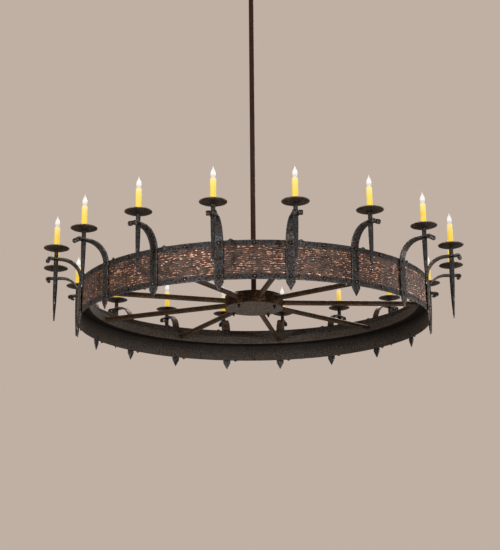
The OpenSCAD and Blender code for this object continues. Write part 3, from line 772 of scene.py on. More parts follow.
class RingTree:
    """Geometry Nodes tree that sets copies of one piece round the upright axis, in one row or more."""

    SOCKETS = {
        "Piece": "Object", "Count": "Int", "Rows": "Int", "Row step": "Float", "Radius": "Float",
        "First angle": "Float", "Height": "Float", "Spin axis": "Vector", "Size spread": "Float", "Seed": "Int",
        "Finish": "Material",
    }

    def __init__(self) -> None:
        """Builds the tree."""
        self.tree = bpy.data.node_groups.new("pieces_round_the_ring", "GeometryNodeTree")
        socket = self.tree.interface.new_socket
        socket("Geometry", in_out="OUTPUT", socket_type="NodeSocketGeometry")
        self.names = {
            name: socket(name, in_out="INPUT", socket_type="NodeSocket" + kind).identifier
            for name, kind in self.SOCKETS.items()
        }
        graph = Graph(self.tree)
        given = graph.add("NodeGroupInput").outputs
        index = graph.add("GeometryNodeInputIndex").outputs[0]
        column = graph.math("MODULO", index, given["Count"])
        row = graph.math("FLOOR", graph.math("DIVIDE", index, given["Count"]))
        step = graph.math("DIVIDE", math.tau, given["Count"])
        angle = graph.plus(given["First angle"], graph.times(column, step))
        across = graph.times(graph.math("SINE", angle), given["Radius"])
        ahead = graph.times(graph.math("COSINE", angle), graph.times(given["Radius"], -1.0))
        up = graph.plus(given["Height"], graph.times(row, given["Row step"]))
        place = graph.add("ShaderNodeCombineXYZ", {0: across, 1: ahead, 2: up}).outputs[0]
        turn = graph.add("ShaderNodeCombineXYZ", {2: graph.math("SUBTRACT", angle, math.pi / 2)}).outputs[0]
        total = graph.times(given["Count"], given["Rows"])
        points = graph.add("GeometryNodePoints", {"Count": total, "Position": place}).outputs[0]
        piece = graph.add("GeometryNodeObjectInfo", {"Object": given["Piece"], "As Instance": True})
        sockets = {"Points": points, "Instance": piece.outputs["Geometry"], "Rotation": turn}
        copies = graph.add("GeometryNodeInstanceOnPoints", sockets).outputs[0]
        chance = graph.add("FunctionNodeRandomValue", {2: 0.0, 3: math.tau, 8: given["Seed"]}, data_type="FLOAT")
        about = graph.scaled(given["Spin axis"], chance.outputs[1])
        sockets = {"Instances": copies, "Rotation": about, "Local Space": True}
        copies = graph.add("GeometryNodeRotateInstances", sockets).outputs[0]
        least = graph.math("SUBTRACT", 1.0, given["Size spread"])
        most = graph.plus(1.0, given["Size spread"])
        sockets = {2: least, 3: most, 8: graph.plus(given["Seed"], 7.0)}
        size = graph.add("FunctionNodeRandomValue", sockets, data_type="FLOAT")
        sockets = {"Instances": copies, "Scale": size.outputs[1], "Local Space": True}
        copies = graph.add("GeometryNodeScaleInstances", sockets).outputs[0]
        solid = graph.add("GeometryNodeRealizeInstances", {0: copies}).outputs[0]
        dressed = graph.add("GeometryNodeSetMaterial", {"Geometry": solid, "Material": given["Finish"]}).outputs[0]
        graph.add("NodeGroupOutput", {0: dressed})

    def copies(
        self, draft: Draft, name: str, setting: Setting, finish: Finish, *nodes: str, crease: float = 40
    ) -> None:
        """Sets copies of a piece round the ring, makes them one plain mesh and hands it over.

        Args:
            draft: The piece, made along +X from the axis or from its own radius.
            name: Name of the object that holds the copies.
            setting: How the copies stand.
            finish: Their finish.
            nodes: The nodes that they stand for.
            crease: Angle of the edges that stay sharp, in degrees.
        """
        piece = draft.make(name + "_piece", crease=crease)
        carrier = placed(name + "_carrier", bpy.data.meshes.new(name + "_carrier"))
        modifier = carrier.modifiers.new("ring", "NODES")
        modifier.node_group = self.tree
        values = {
            "Piece": piece, "Count": setting.count, "Rows": setting.rows, "Row step": setting.row_step,
            "Radius": setting.radius, "First angle": setting.first_angle, "Height": setting.height,
            "Spin axis": setting.spin.value, "Size spread": setting.spread, "Seed": setting.seed,
            "Finish": finish.material,
        }
        for socket, value in values.items():
            modifier[self.names[socket]] = value
        mesh = bpy.data.meshes.new_from_object(carrier.evaluated_get(bpy.context.evaluated_depsgraph_get()))
        mesh.name = name
        bpy.data.objects.remove(carrier)
        bpy.data.objects.remove(piece)
        settle(placed(name, mesh), Body.FIXTURE.value, finish.slot, *nodes)


# Sub-assemblies


@dataclass
class Band:
    """The riveted band: copper skin, iron shell, two rims and seventy-two rivets."""

    ring: RingTree
    plan: Plan = PLAN
    sheets: int = 3
    sheet_columns: int = 900
    sheet_rows: int = 92
    skin_t: float = 0.0015
    ripple: float = 0.0125
    ripple_height: float = 0.0017
    lobe_turn: float = math.radians(3.2)
    lobe_rise: float = 0.0095
    lobe_half: float = 0.016
    lobe_reach: float = 0.022
    rivet_head_r: float = 0.008
    rivet_rise: float = 0.0046
    rivet_r: float = 0.004
    rivet_sides: int = 14
    shell_sides: int = 1080

    def build(self) -> None:
        """Makes every piece of the band."""
        for number in range(self.sheets):
            self.sheet(number)
        self.shell()
        self.rim("top_rim_forged", "top_rim", self.plan.band_h - self.plan.rim_h, 1, 41)
        self.rim("bottom_rim_forged", "bottom_rim", 0.0, -1, 67)
        self.rivets()

    def relief(self, points: Array) -> tuple[Array, Array, Array]:
        """Height of the hammered ripples.

        Args:
            points: Places on the skin, with Z from the band's lower edge.

        Returns:
            The height as a share of the ripples' own, how far each place is burnished and painted with a highlight,
            and how much it is a hollow.
        """
        flat = points * (1.0, 1.0, 2.0)
        warp = 0.011 * bumps(flat, 0.115, 3) + 0.0085 * bumps(flat, 0.044, 5) + 0.0032 * bumps(points, 0.018, 9)
        wave = 0.5 + 0.5 * np.sin(math.tau * (points[..., 2] + warp) / self.ripple)
        broken = ease(bumps(points * (1.0, 1.0, 1.2), 0.0125, 17), -0.45, 0.45)
        height = wave * (0.25 + 0.75 * broken) + 0.16 * bumps(points, 0.0075, 23)
        patch = ease(layers(points, 0.075, 29, 3), -0.40, 0.35)
        spot = ease(bumps(points * (0.95, 0.95, 0.8), 0.0095, 37), -0.40, 0.40)
        # Burnish on the crests; the brightest of it is a painted highlight.
        crest = ease(height, 0.30, 0.80) * (0.5 + 0.5 * patch) * (0.3 + 0.7 * spot)
        return height, crest, ease(-wave, -0.42, -0.08)

    def sheet(self, number: int) -> None:
        """Makes one length of the hammered copper skin. Its ends meet the next ones behind arms.

        Args:
            number: Counts the lengths from 0.
        """
        plan, overlap, fade = self.plan, 0.004, 0.0025
        start = plan.arm_angle(1 + number * plan.arms / self.sheets)
        turns = start + np.linspace(0, math.tau / self.sheets, self.sheet_columns + 1)
        low, high = plan.rim_h - overlap, plan.band_h - plan.rim_h + overlap
        rows = np.concatenate([[0.0], np.linspace(low, high, self.sheet_rows), [plan.band_h]])
        outline = [(plan.ring_r, z) for z in rows] + [(plan.ring_r - self.skin_t, z) for z in rows[[-1, 0]]]
        grid = turned(outline, turns)
        height, crest, hollow = self.relief(grid)
        z = grid[..., 2]
        bare = ease(z, plan.rim_h, plan.rim_h + fade) * ease(plan.band_h - z, plan.rim_h, plan.rim_h + fade)
        bare[:, len(rows):] = 0
        grid = swelled(grid, self.ripple_height * height * bare)
        grid[..., 2] += plan.ring_z
        draft = Draft().loft(grid, wrap=False, crest=crest * bare, hollow=hollow * bare)
        draft.hand_over(f"copper_sheet_{number + 1}", Finish.COPPER, "copper_skin", crease=70)

    def shell(self) -> None:
        """Makes the iron band that shows its inner face on the far side."""
        plan = self.plan
        outline = box_outline((plan.shell_in_r, 0), (plan.shell_out_r, plan.band_h), 0.0012, (1, 26))
        grid = turned(outline, self.shell_sides)
        inner = from_axis(grid) < (plan.shell_in_r + plan.shell_out_r) / 2
        dents = 0.0009 * layers(grid, 0.034, 71, 3)
        grid = swelled(grid, np.where(inner, dents - 0.0004, 0))
        height = grid[..., 2]
        # Painted shade: the inner face darkens up towards the channel floor and in a strip round it.
        shade_under_floor = np.where(height < plan.channel_z, 0.8 * height / plan.channel_z, 0.06)
        shade_under_floor = np.maximum(shade_under_floor, ease(-abs(height - plan.channel_z), -0.014, -0.006))
        grime = np.maximum(0.6 * self.grime(grid), shade_under_floor) * inner
        grid[..., 2] += plan.ring_z
        Draft().loft(grid, wrap=True, grime=grime).hand_over("iron_shell", Finish.SHELL, "band_shell")

    def grime(self, points: Array) -> Array:
        """Dirt and painted shade in a ring round each rivet's head.

        Args:
            points: Places on the band, with Z from its lower edge.

        Returns:
            Numbers from 0 to 1.
        """
        plan, height = self.plan, points[..., 2]
        step = math.pi / plan.arms
        along = (around_axis(points) + step / 2) % step - step / 2
        nearest = np.minimum(abs(height - plan.rivet_edge), abs(height - plan.band_h + plan.rivet_edge))
        away = np.hypot(along * plan.ring_r, nearest)
        return ease(-away, -2.1 * self.rivet_head_r, -1.0 * self.rivet_head_r)

    def rim(self, name: str, node: str, low: float, side: int, seed: int) -> None:
        """Makes a rim strap with a forged lobe beside each arm.

        Args:
            name: Name of the piece.
            node: The node that it stands for.
            low: Height of the strap's lower edge above the band's.
            side: 1 for lobes on the upper edge, -1 for the lower edge.
            seed: Picks the strap's own unevenness.
        """
        plan, reach = self.plan, self.lobe_reach
        pitch = math.tau / plan.arms
        close = np.linspace(-reach, reach, 22)
        rest = np.linspace(reach, pitch - reach, 52)[1:-1]
        offsets = np.concatenate([close, rest])
        middles = plan.arm_angle(1) + side * self.lobe_turn + pitch * np.arange(plan.arms)
        turns = (middles[:, None] + offsets[None]).ravel()
        along = np.tile(np.concatenate([close, np.full(len(rest), 1.0)]), plan.arms) * plan.ring_r
        own = np.repeat(np.random.default_rng(seed).uniform(-1, 1, (plan.arms, 3)), len(offsets), axis=0)
        wide, tall, moved = own.T[..., None]
        outline = box_outline((plan.rim_in_r, low), (plan.rim_out_r, low + plan.rim_h), 0.0011, (1, 11))
        grid = turned(outline, turns)
        z = grid[..., 2]
        edge = low + plan.rim_h if side > 0 else low
        from_edge = side * (edge - z)
        lean = along[:, None] + 0.0015 * moved
        shape = np.clip(1 - abs(lean / (self.lobe_half * (1 + 0.12 * wide))), 0, 1) ** 0.85
        rise = self.lobe_rise * (1 + 0.12 * tall) * shape * ease(-from_edge, -0.011, 0.0)
        outer = ease(from_axis(grid), plan.rim_in_r + 0.0012, plan.rim_out_r - 0.0005)
        away = np.hypot(lean, 0.85 * (from_edge - 0.002))
        boss = 0.0024 * ease(-away, -0.0155, -0.005) - 0.0011 * ease(-away, -0.006, -0.0015)
        uneven = 0.00055 * layers(grid, 0.017, seed)
        from_middle = z - low - plan.rim_h / 2
        waver = 0.0007 * layers(grid * LEVEL, 0.03, seed + 5)
        waver = waver * ease(abs(from_middle), 0.25 * plan.rim_h, 0.5 * plan.rim_h) * np.sign(from_middle)
        # Dirt and painted shade ring the rivets on the strap's outer face.
        grime = self.grime(grid) * outer
        wear = outer * ease(-from_edge, -0.006, 0.0) * 0.35 + 0.55 * outer * ease(-away, -0.008, -0.002)
        wear += 0.25 * outer * ease(side * (z - edge) + plan.rim_h, 0.003, 0.0005)
        grid = swelled(grid, (boss + uneven - 0.0002) * outer)
        grid[..., 2] = z + plan.ring_z + side * rise + waver * (shape < 0.01)
        Draft().loft(grid, wrap=True, grime=grime, wear=np.clip(wear, 0, 1)).hand_over(name, Finish.IRON, node)

    def rivet(self, inside: float, seed: int) -> Draft:
        """One rivet along +X whose outer head sits at the origin.

        Args:
            inside: Distance from the outer head's seat back to the inner one's.
            seed: Picks the hammer marks on its heads.

        Returns:
            The rivet.
        """
        head, rise = self.rivet_head_r, self.rivet_rise
        dome = [(head * math.cos(a) ** 0.8, rise * math.sin(a)) for a in np.radians([0, 14, 32, 52, 74])]
        outline = [(0.96 * r, -inside - 0.0004 - 0.85 * x) for r, x in dome[::-1]]
        outline += [(head * 0.9, -inside), (self.rivet_r, -inside), (self.rivet_r, -0.0001), (head * 0.9, 0.0)]
        rings = spun(outline + [(r, 0.0004 + x) for r, x in dome], self.rivet_sides)
        rings = swelled(rings, 0.0006 * bumps(rings, 0.006, seed))
        radius = from_axis(rings)
        # A painted highlight on the middle of each head.
        crown_highlight = ease(-radius, -0.62 * head, -0.1 * head) * (abs(rings[..., 2] + inside / 2) > inside / 2 + 0.002)
        rings[..., 2] += 0.0004 * bumps(rings * LEVEL, 0.005, seed + 3)
        # Painted shade darkens the rim of each head.
        grime = 0.5 * ease(radius, 0.8 * head, head)
        return Draft().loft(rings[..., [2, 0, 1]], wrap=False, wear=crown_highlight, grime=grime)

    def rivets(self) -> None:
        """Sets the rivets through the arms and those halfway between them."""
        plan = self.plan
        for name, seat_r, shift, seed in (
            ("rivets_through_arms", plan.arm_out_x, 0.0, 5),
            ("rivets_between_arms", plan.rim_out_r, 0.5, 11),
        ):
            setting = Setting(
                plan.arms, plan.arm_angle(1 + shift), seat_r, plan.ring_z + plan.rivet_edge,
                rows=2, row_step=plan.band_h - 2 * plan.rivet_edge, spin=Axis.OUTWARDS, spread=0.05, seed=seed,
            )
            rivet = self.rivet(seat_r - plan.shell_in_r, seed)
            self.ring.copies(rivet, name, setting, Finish.RIVET, "rivets", crease=60)


@dataclass(frozen=True)
class Bar:
    """An arm's bar in rows from the spear's tip to the ends of the curls, each value as a column.

    The rows have their middle's place, the direction across the bar's thickness, half its width, its thickness,
    the length so far and the distance to the slit's root, which is below zero inside the slit.
    """

    x: Array
    z: Array
    aside_x: Array
    aside_z: Array
    half: Array
    thick: Array
    length: Array
    to_slit: Array


@dataclass
class ForgedArms:
    """Eighteen flat bars, each with a spear point, a bend and a slit end wound into two curls."""

    plan: Plan = PLAN
    half: float = 0.025
    thick: float = 0.0095
    edge: float = 0.0026
    spear_h: float = 0.065
    bend_z: float = 0.211
    bend_r: float = 0.113
    slit_x: float = 1.316
    slit_half: float = 0.005
    curl_step: float = 0.045
    curl_r: float = 0.015
    curl_end: float = math.radians(268)
    curl_thin: float = 0.0046
    end_half: float = 0.029
    flare_x: float = 1.304

    def bar(self, chance: np.random.Generator) -> Bar:
        """Lays out the bar.

        Args:
            chance: The arm's own random numbers.

        Returns:
            The bar's rows.
        """
        plan = self.plan
        low = np.concatenate([[0, 0.0006, 0.0016, 0.003], np.linspace(0.0055, self.spear_h + self.bend_z, 76)[:-1]])
        straight = np.stack([np.full(len(low), plan.arm_in_x + self.thick / 2), low - self.spear_h], axis=-1)
        middle, radius = plan.arm_out_x + self.bend_r, self.bend_r + self.thick / 2
        bend = np.linspace(0, math.pi / 2, 40)
        curve = np.stack([middle - radius * np.cos(bend), self.bend_z + radius * np.sin(bend)], axis=-1)
        tip_x = plan.spike_x + self.curl_step
        run_up = np.linspace(middle, self.slit_x - 0.005, 15)[1:]
        near = self.slit_x - np.array([0.0026, 0.0014, 0.0006])
        level_x = np.concatenate([run_up, near, [self.slit_x], np.linspace(self.slit_x, tip_x, 9)[1:-1]])
        level = np.stack([level_x, np.full(len(level_x), plan.arm_top_z - self.thick / 2)], axis=-1)
        wind = np.linspace(0, self.curl_end + 0.2 * chance.uniform(-1, 1), 40)
        share = wind / self.curl_end
        thin = self.thick + (self.curl_thin - self.thick) * np.clip(share, 0, 1)
        shrink = 0.0055 * np.clip((wind - 2.5) / (self.curl_end - 2.5), 0, None) ** 1.2
        reach = self.curl_r - thin / 2 - shrink
        centre = np.array([tip_x, plan.arm_top_z - self.curl_r])
        curl = centre + reach[:, None] * np.stack([np.sin(wind), np.cos(wind)], axis=-1)
        places = np.concatenate([straight, curve, level, curl])
        heading = np.concatenate([
            np.tile([0.0, 1.0], (len(low), 1)), np.stack([np.sin(bend), np.cos(bend)], axis=-1),
            np.tile([1.0, 0.0], (len(level), 1)), np.stack([np.cos(wind), -np.sin(wind)], axis=-1),
        ])
        length = np.concatenate([[0], np.cumsum(np.linalg.norm(np.diff(places, axis=0), axis=-1))])
        heights = np.array([-0.0650, -0.0636, -0.0610, -0.0220, -0.0180, -0.0140, 0.0000, 0.0180])
        halves = np.array([0.0012, 0.0024, 0.0034, 0.0247, 0.0266, 0.0270, 0.0262, 0.0250])
        width = np.interp(places[:, 1], heights, halves)
        flare = np.clip((places[:, 0] - self.flare_x) / (tip_x - self.flare_x), 0, 1)
        width[len(low):] = (self.half + (self.end_half - self.half) * flare)[len(low):]
        width[-len(curl):] = self.end_half - 0.0016 * share**2
        thickness = np.full(len(places), self.thick)
        thickness[: len(low)] -= 0.0028 * ease(-straight[:, 1], 0.010, self.spear_h)
        thickness[-len(curl):] = thin
        root = length[len(low) + len(bend) + len(run_up) + len(near) - 1]
        columns = (*places.T, heading[:, 1], -heading[:, 0], width, thickness, length, root - length)
        return Bar(*(column[:, None] for column in columns))

    def arm(self, number: int) -> None:
        """Makes one arm and sets it in its place.

        Args:
            number: Counts the arms from 1.
        """
        plan = self.plan
        bar = self.bar(np.random.default_rng(100 + number))
        shares = np.array([0.2, 0.225, 0.265, 0.33, 0.46, 0.60, 0.74, 0.86, 0.93, 0.972, 1.0])
        columns = np.concatenate([-shares[::-1], [0.0], shares])
        lane = np.minimum(self.slit_half, shares[0] * bar.half)
        beyond = np.clip((abs(columns[None]) - shares[0]) / (1 - shares[0]), 0, 1)
        across = np.sign(columns[None]) * (lane + beyond * (bar.half - lane))
        wall = abs(across) - self.slit_half
        in_slit = bar.to_slit < 1e-6
        to_slit = np.where(in_slit, wall, np.hypot(np.maximum(bar.to_slit, 0), np.maximum(wall, 0)))
        to_sides = np.minimum(bar.half - abs(across), to_slit)
        away = np.minimum(to_sides, np.minimum(bar.length[-1] - bar.length, bar.length))
        curve = self.edge - np.clip(away, 0, self.edge)
        full = bar.thick / 2
        pad = full - self.edge * 0.85 + 0.85 * np.sqrt(np.maximum(self.edge**2 - curve**2, 0))
        pad = np.maximum(pad, 0.0008)
        run = bar.length + 37.0 * number
        line = np.stack([run, 0 * run, 0 * run], axis=-1)
        waver = [0.0009 * layers(line + k, 0.03, number + 60) for k in (0.0, 5.0)]
        side = np.where(across > 0, *waver) * abs(columns[None]) ** 2 * np.clip(bar.half / self.half, 0, 1)
        grid = np.stack([bar.x + 0 * across, across + side, bar.z + 0 * across], axis=-1)
        face = np.stack([run + 0 * across, across, 0 * across], axis=-1)
        sheets = []
        for sign, seed in ((1, 3), (-1, 4)):
            hammer = 0.0006 * layers(face, 0.016, number * 7 + seed) + 0.00015 * bumps(face, 0.004, seed)
            height = sign * (pad + hammer * ease(away, 0.0, 0.002))
            if sign < 0:
                flat = ease(-bar.z, -self.bend_z, -self.bend_z + 0.02)
                height = np.where(flat > 0, height * (1 - flat) + flat * np.maximum(height, -full), height)
            offset = np.stack([bar.aside_x * height, 0 * height, bar.aside_z * height], axis=-1)
            sheets.append(facing(grid + offset + (0, 0, plan.ring_z), plan.arm_angle(number)))
        lanes = abs(columns[:-1] + columns[1:]) / 2 < self.slit_half / self.half
        from_rivets = [np.hypot(across, bar.z - z) for z in (plan.rivet_edge, plan.band_h - plan.rivet_edge)]
        # Dirt and painted shade ring the rivets.
        grime = 0.92 * ease(-np.minimum(*from_rivets), -0.0165, -0.0095) * (bar.x < plan.arm_out_x)
        # Painted shade on the back face where it lies against the band; wear is kept off it there.
        shade_on_back = ease(bar.z, -0.012, 0.004) * ease(-bar.z, -plan.band_h - 0.012, -plan.band_h) + 0 * across
        before_slit = ease(-bar.x, -self.slit_x, 0.05 - self.slit_x)
        rub = 0.5 + 0.5 * bumps(face, 0.012, number + 200)
        wear = ease(-away, -0.0032, -0.0004) * (0.15 + 0.55 * rub)
        above = before_slit * ease(bar.z, plan.band_h, plan.band_h + 0.02) + 0 * wear
        draft = Draft().plate(
            *sheets, ~(in_slit[:-1] & lanes[None]), grime=np.stack([grime, np.maximum(grime, shade_on_back)]),
            wear=np.stack([wear, wear * (1 - shade_on_back)]), rusty=np.stack([0 * above, above]),
        )
        draft.hand_over(f"forged_arm_{number:02d}", Finish.IRON, f"arm_{number:02d}", crease=45)

    def build(self) -> None:
        """Makes all arms."""
        for number in range(1, self.plan.arms + 1):
            self.arm(number)


@dataclass
class Candles:
    """What each arm carries: spike, post, drip pan, sleeve and bulb."""

    ring: RingTree
    plan: Plan = PLAN
    spike_r: float = 0.0145
    spike_sides: int = 20
    spike_tip_r: float = 0.0042
    spike_tip_z: float = 0.042
    spike_top_z: float = 0.3237
    tenon_r: float = 0.008
    tenon_h: float = 0.0335
    post_r: float = 0.013
    post_z: float = 0.3338
    post_h: float = 0.047
    post_bore_r: float = 0.0086
    post_bore_h: float = 0.0262
    post_sides: int = 24
    nipple_r: float = 0.0052
    pan_r: float = 0.078
    pan_z: float = 0.3811
    pan_depth: float = 0.016
    pan_seat_r: float = 0.016
    pan_t: float = 0.0025
    bead_r: float = 0.0019
    pan_sides: int = 60
    sleeve_z: float = 0.3839
    sleeve_h: float = 0.148
    sleeve_r: float = 0.0165
    sleeve_wall: float = 0.0035
    sleeve_sides: int = 36
    base_z: float = 0.5049
    base_r: float = 0.00595
    base_ridges: int = 44
    bulb_sides: int = 32
    glass_z: float = 0.5272
    glass_h: float = 0.082
    glass_r: float = 0.014

    def stand(self, draft: Draft, name: str, seed: int, finish: Finish, node: str, crease: float = 40) -> None:
        """Sets one copy of a piece on each spike's axis."""
        setting = Setting(
            self.plan.arms, self.plan.arm_angle(1), self.plan.spike_x, self.plan.ring_z, spin=Axis.UPWARDS, seed=seed
        )
        self.ring.copies(draft, name, setting, finish, node, crease=crease)

    def spikes(self) -> None:
        """Makes the tapered spikes, hammered round."""
        top, tip = self.spike_top_z, self.spike_tip_z
        share = np.linspace(0, 1, 40)
        radii = self.spike_r - (self.spike_r - self.spike_tip_r) * (1 - share) ** 2
        outline = [(0.0012, tip), (self.spike_tip_r * 0.75, tip + 0.0008)]
        outline += [(r, tip + 0.003 + (top - tip - 0.005) * s) for r, s in zip(radii, share)]
        outline += [(self.spike_r - 0.0012, top), (self.tenon_r, top), (self.tenon_r, top + self.tenon_h)]
        rings = spun(outline, self.spike_sides)
        hammered = 0.0007 * layers(rings, 0.022, 301) * ease(top - rings[..., 2], 0.0, 0.004)
        draft = Draft().loft(swelled(rings, hammered), wrap=False, wear=0.35 * ease(hammered, 0.0, 0.0005))
        self.stand(draft, "forged_spikes", 3, Finish.SPIKE, "spikes")

    def posts(self) -> None:
        """Makes the short posts that carry the pans."""
        low, high, r, soft = self.post_z, self.post_z + self.post_h, self.post_r, 0.001
        bore, ledge = self.post_bore_r, self.post_z + self.post_bore_h
        outline = [(bore, low), (r - soft, low), (r, low + soft)]
        outline += [(r, low + soft + (self.post_h - 2 * soft) * k / 9) for k in range(1, 9)]
        outline += [(r, high - soft), (r - soft, high), (self.nipple_r, high), (self.nipple_r, ledge), (bore, ledge)]
        rings = spun(outline, self.post_sides)
        outer = ease(from_axis(rings), r - 0.0015, r - 0.0002)
        rings = swelled(rings, 0.0004 * layers(rings, 0.014, 311) * outer)
        wear = 0.3 * outer * ease(abs(rings[..., 2] - (low + high) / 2), 0.021, 0.0235)
        self.stand(Draft().loft(rings, wrap=True, wear=wear), "forged_posts", 5, Finish.IRON, "posts")

    def dish(self, radius: float) -> float:
        """Height of a pan's underside at a distance from its axis."""
        share = max(0.0, radius - self.pan_seat_r) / (self.pan_r - self.pan_seat_r)
        return self.pan_depth * share**1.7

    def pans(self) -> None:
        """Makes the hammered drip pans with a thin raised rim."""
        radii = np.concatenate([[self.nipple_r, 0.0100], np.linspace(self.pan_seat_r, self.pan_r - 0.0016, 13)])
        lip = self.dish(self.pan_r) + self.pan_t / 2
        outline = [(r, self.dish(r)) for r in radii]
        outline += [
            (self.pan_r - 0.0012 + self.bead_r * math.cos(a), lip + self.bead_r * math.sin(a))
            for a in np.radians([-80, -45, 0, 45, 90, 130])
        ]
        outline += [(r, self.dish(r) + self.pan_t) for r in radii[:-1][::-1]]
        rings = spun([(r, self.pan_z + z) for r, z in outline], self.pan_sides)
        radius = from_axis(rings)
        dents = 0.0008 * layers(rings * LEVEL, 0.019, 321) * ease(radius, self.pan_seat_r, self.pan_seat_r + 0.012)
        rings[..., 2] += dents
        wear = 0.75 * ease(radius, self.pan_r - 0.0028, self.pan_r - 0.0005) + 0.12 * ease(dents, 0.0002, 0.0007)
        self.stand(Draft().loft(rings, wrap=True, wear=wear), "drip_pans", 8, Finish.PAN, "pans", crease=60)

    def sleeves(self) -> None:
        """Makes the resin candle sleeves with soft runs down their sides."""
        low, high = self.sleeve_z, self.sleeve_z + self.sleeve_h
        outer, inner, soft = self.sleeve_r, self.sleeve_r - self.sleeve_wall, self.sleeve_wall / 2
        bends = np.radians([30, 60, 90, 120, 150])
        outline = [(inner, low), (outer - 0.0008, low)]
        outline += [(outer, z) for z in np.linspace(low + 0.001, high - soft, 30)]
        outline += [(inner + soft + soft * math.cos(a), high - soft + soft * math.sin(a)) for a in bends]
        outline += [(inner, z) for z in np.linspace(high - soft, low + 0.01, 6)]
        rings = spun(outline, self.sleeve_sides)
        outside = ease(from_axis(rings), outer - 0.001, outer - 0.0001)
        height = 0.00045 * bumps(rings * (1.0, 1.0, 0.12), 0.008, 331) + 0.0002 * bumps(rings, 0.007, 333)
        rings = swelled(rings, height * outside * ease(rings[..., 2] - low, 0.0, 0.01))
        rings[..., 2] += 0.0006 * bumps(rings * LEVEL, 0.012, 337) * ease(rings[..., 2], high - 0.006, high)
        self.stand(Draft().loft(rings, wrap=True), "candle_sleeves", 9, Finish.AMBER, "sleeves", crease=60)

    def flame(self, shares: Array) -> Array:
        """Outline of the flame-shaped glass.

        Args:
            shares: Shares of its height.

        Returns:
            Its radius at each share.
        """
        rises = [0.0, 0.02, 0.057, 0.11, 0.17, 0.30, 0.40, 0.46, 0.54, 0.61, 0.70, 0.79, 0.88, 0.95, 1.0]
        widths = [0.50, 0.68, 0.78, 0.82, 0.86, 0.97, 1.0, 1.0, 0.94, 0.80, 0.55, 0.32, 0.16, 0.08, 0.03]
        line = np.linspace(0, 1, 201)
        radii = np.interp(line, rises, widths)
        for _ in range(24):
            radii[1:-1] = (radii[:-2] + 2 * radii[1:-1] + radii[2:]) / 4
        return self.glass_r * np.interp(shares, line, radii)

    def bulb(self, number: int) -> None:
        """Makes one bulb: flame-shaped glass on a screw base.

        Args:
            number: Counts the bulbs from 1.
        """
        plan, low, crest = self.plan, self.base_z + 0.0015, 0.0003
        outline = [(0.0005, self.base_z), (0.0035, self.base_z), (self.base_r - 0.0006, low)]
        outline += [
            (self.base_r - crest + crest * math.sin(math.tau * step / 5), low + 0.0195 * step / self.base_ridges)
            for step in range(1, self.base_ridges)
        ]
        shares = np.concatenate([np.linspace(0, 0.06, 4), np.linspace(0.09, 0.95, 34), [0.975, 0.99, 1.0]])
        outline += [(r, self.glass_z + self.glass_h * s) for r, s in zip(self.flame(shares), shares)]
        rings = spun(outline, self.bulb_sides) + (plan.spike_x, 0, plan.ring_z)
        rings = facing(rings, plan.arm_angle(number))
        body = f"bulb_{number:02d}"
        Draft().loft(rings, wrap=False).hand_over(f"flame_{body}", Finish.GLASS, body, crease=60, body=body)

    def build(self) -> None:
        """Makes everything that stands or hangs on the arms."""
        self.spikes()
        self.posts()
        self.pans()
        self.sleeves()
        for number in range(1, self.plan.arms + 1):
            self.bulb(number)


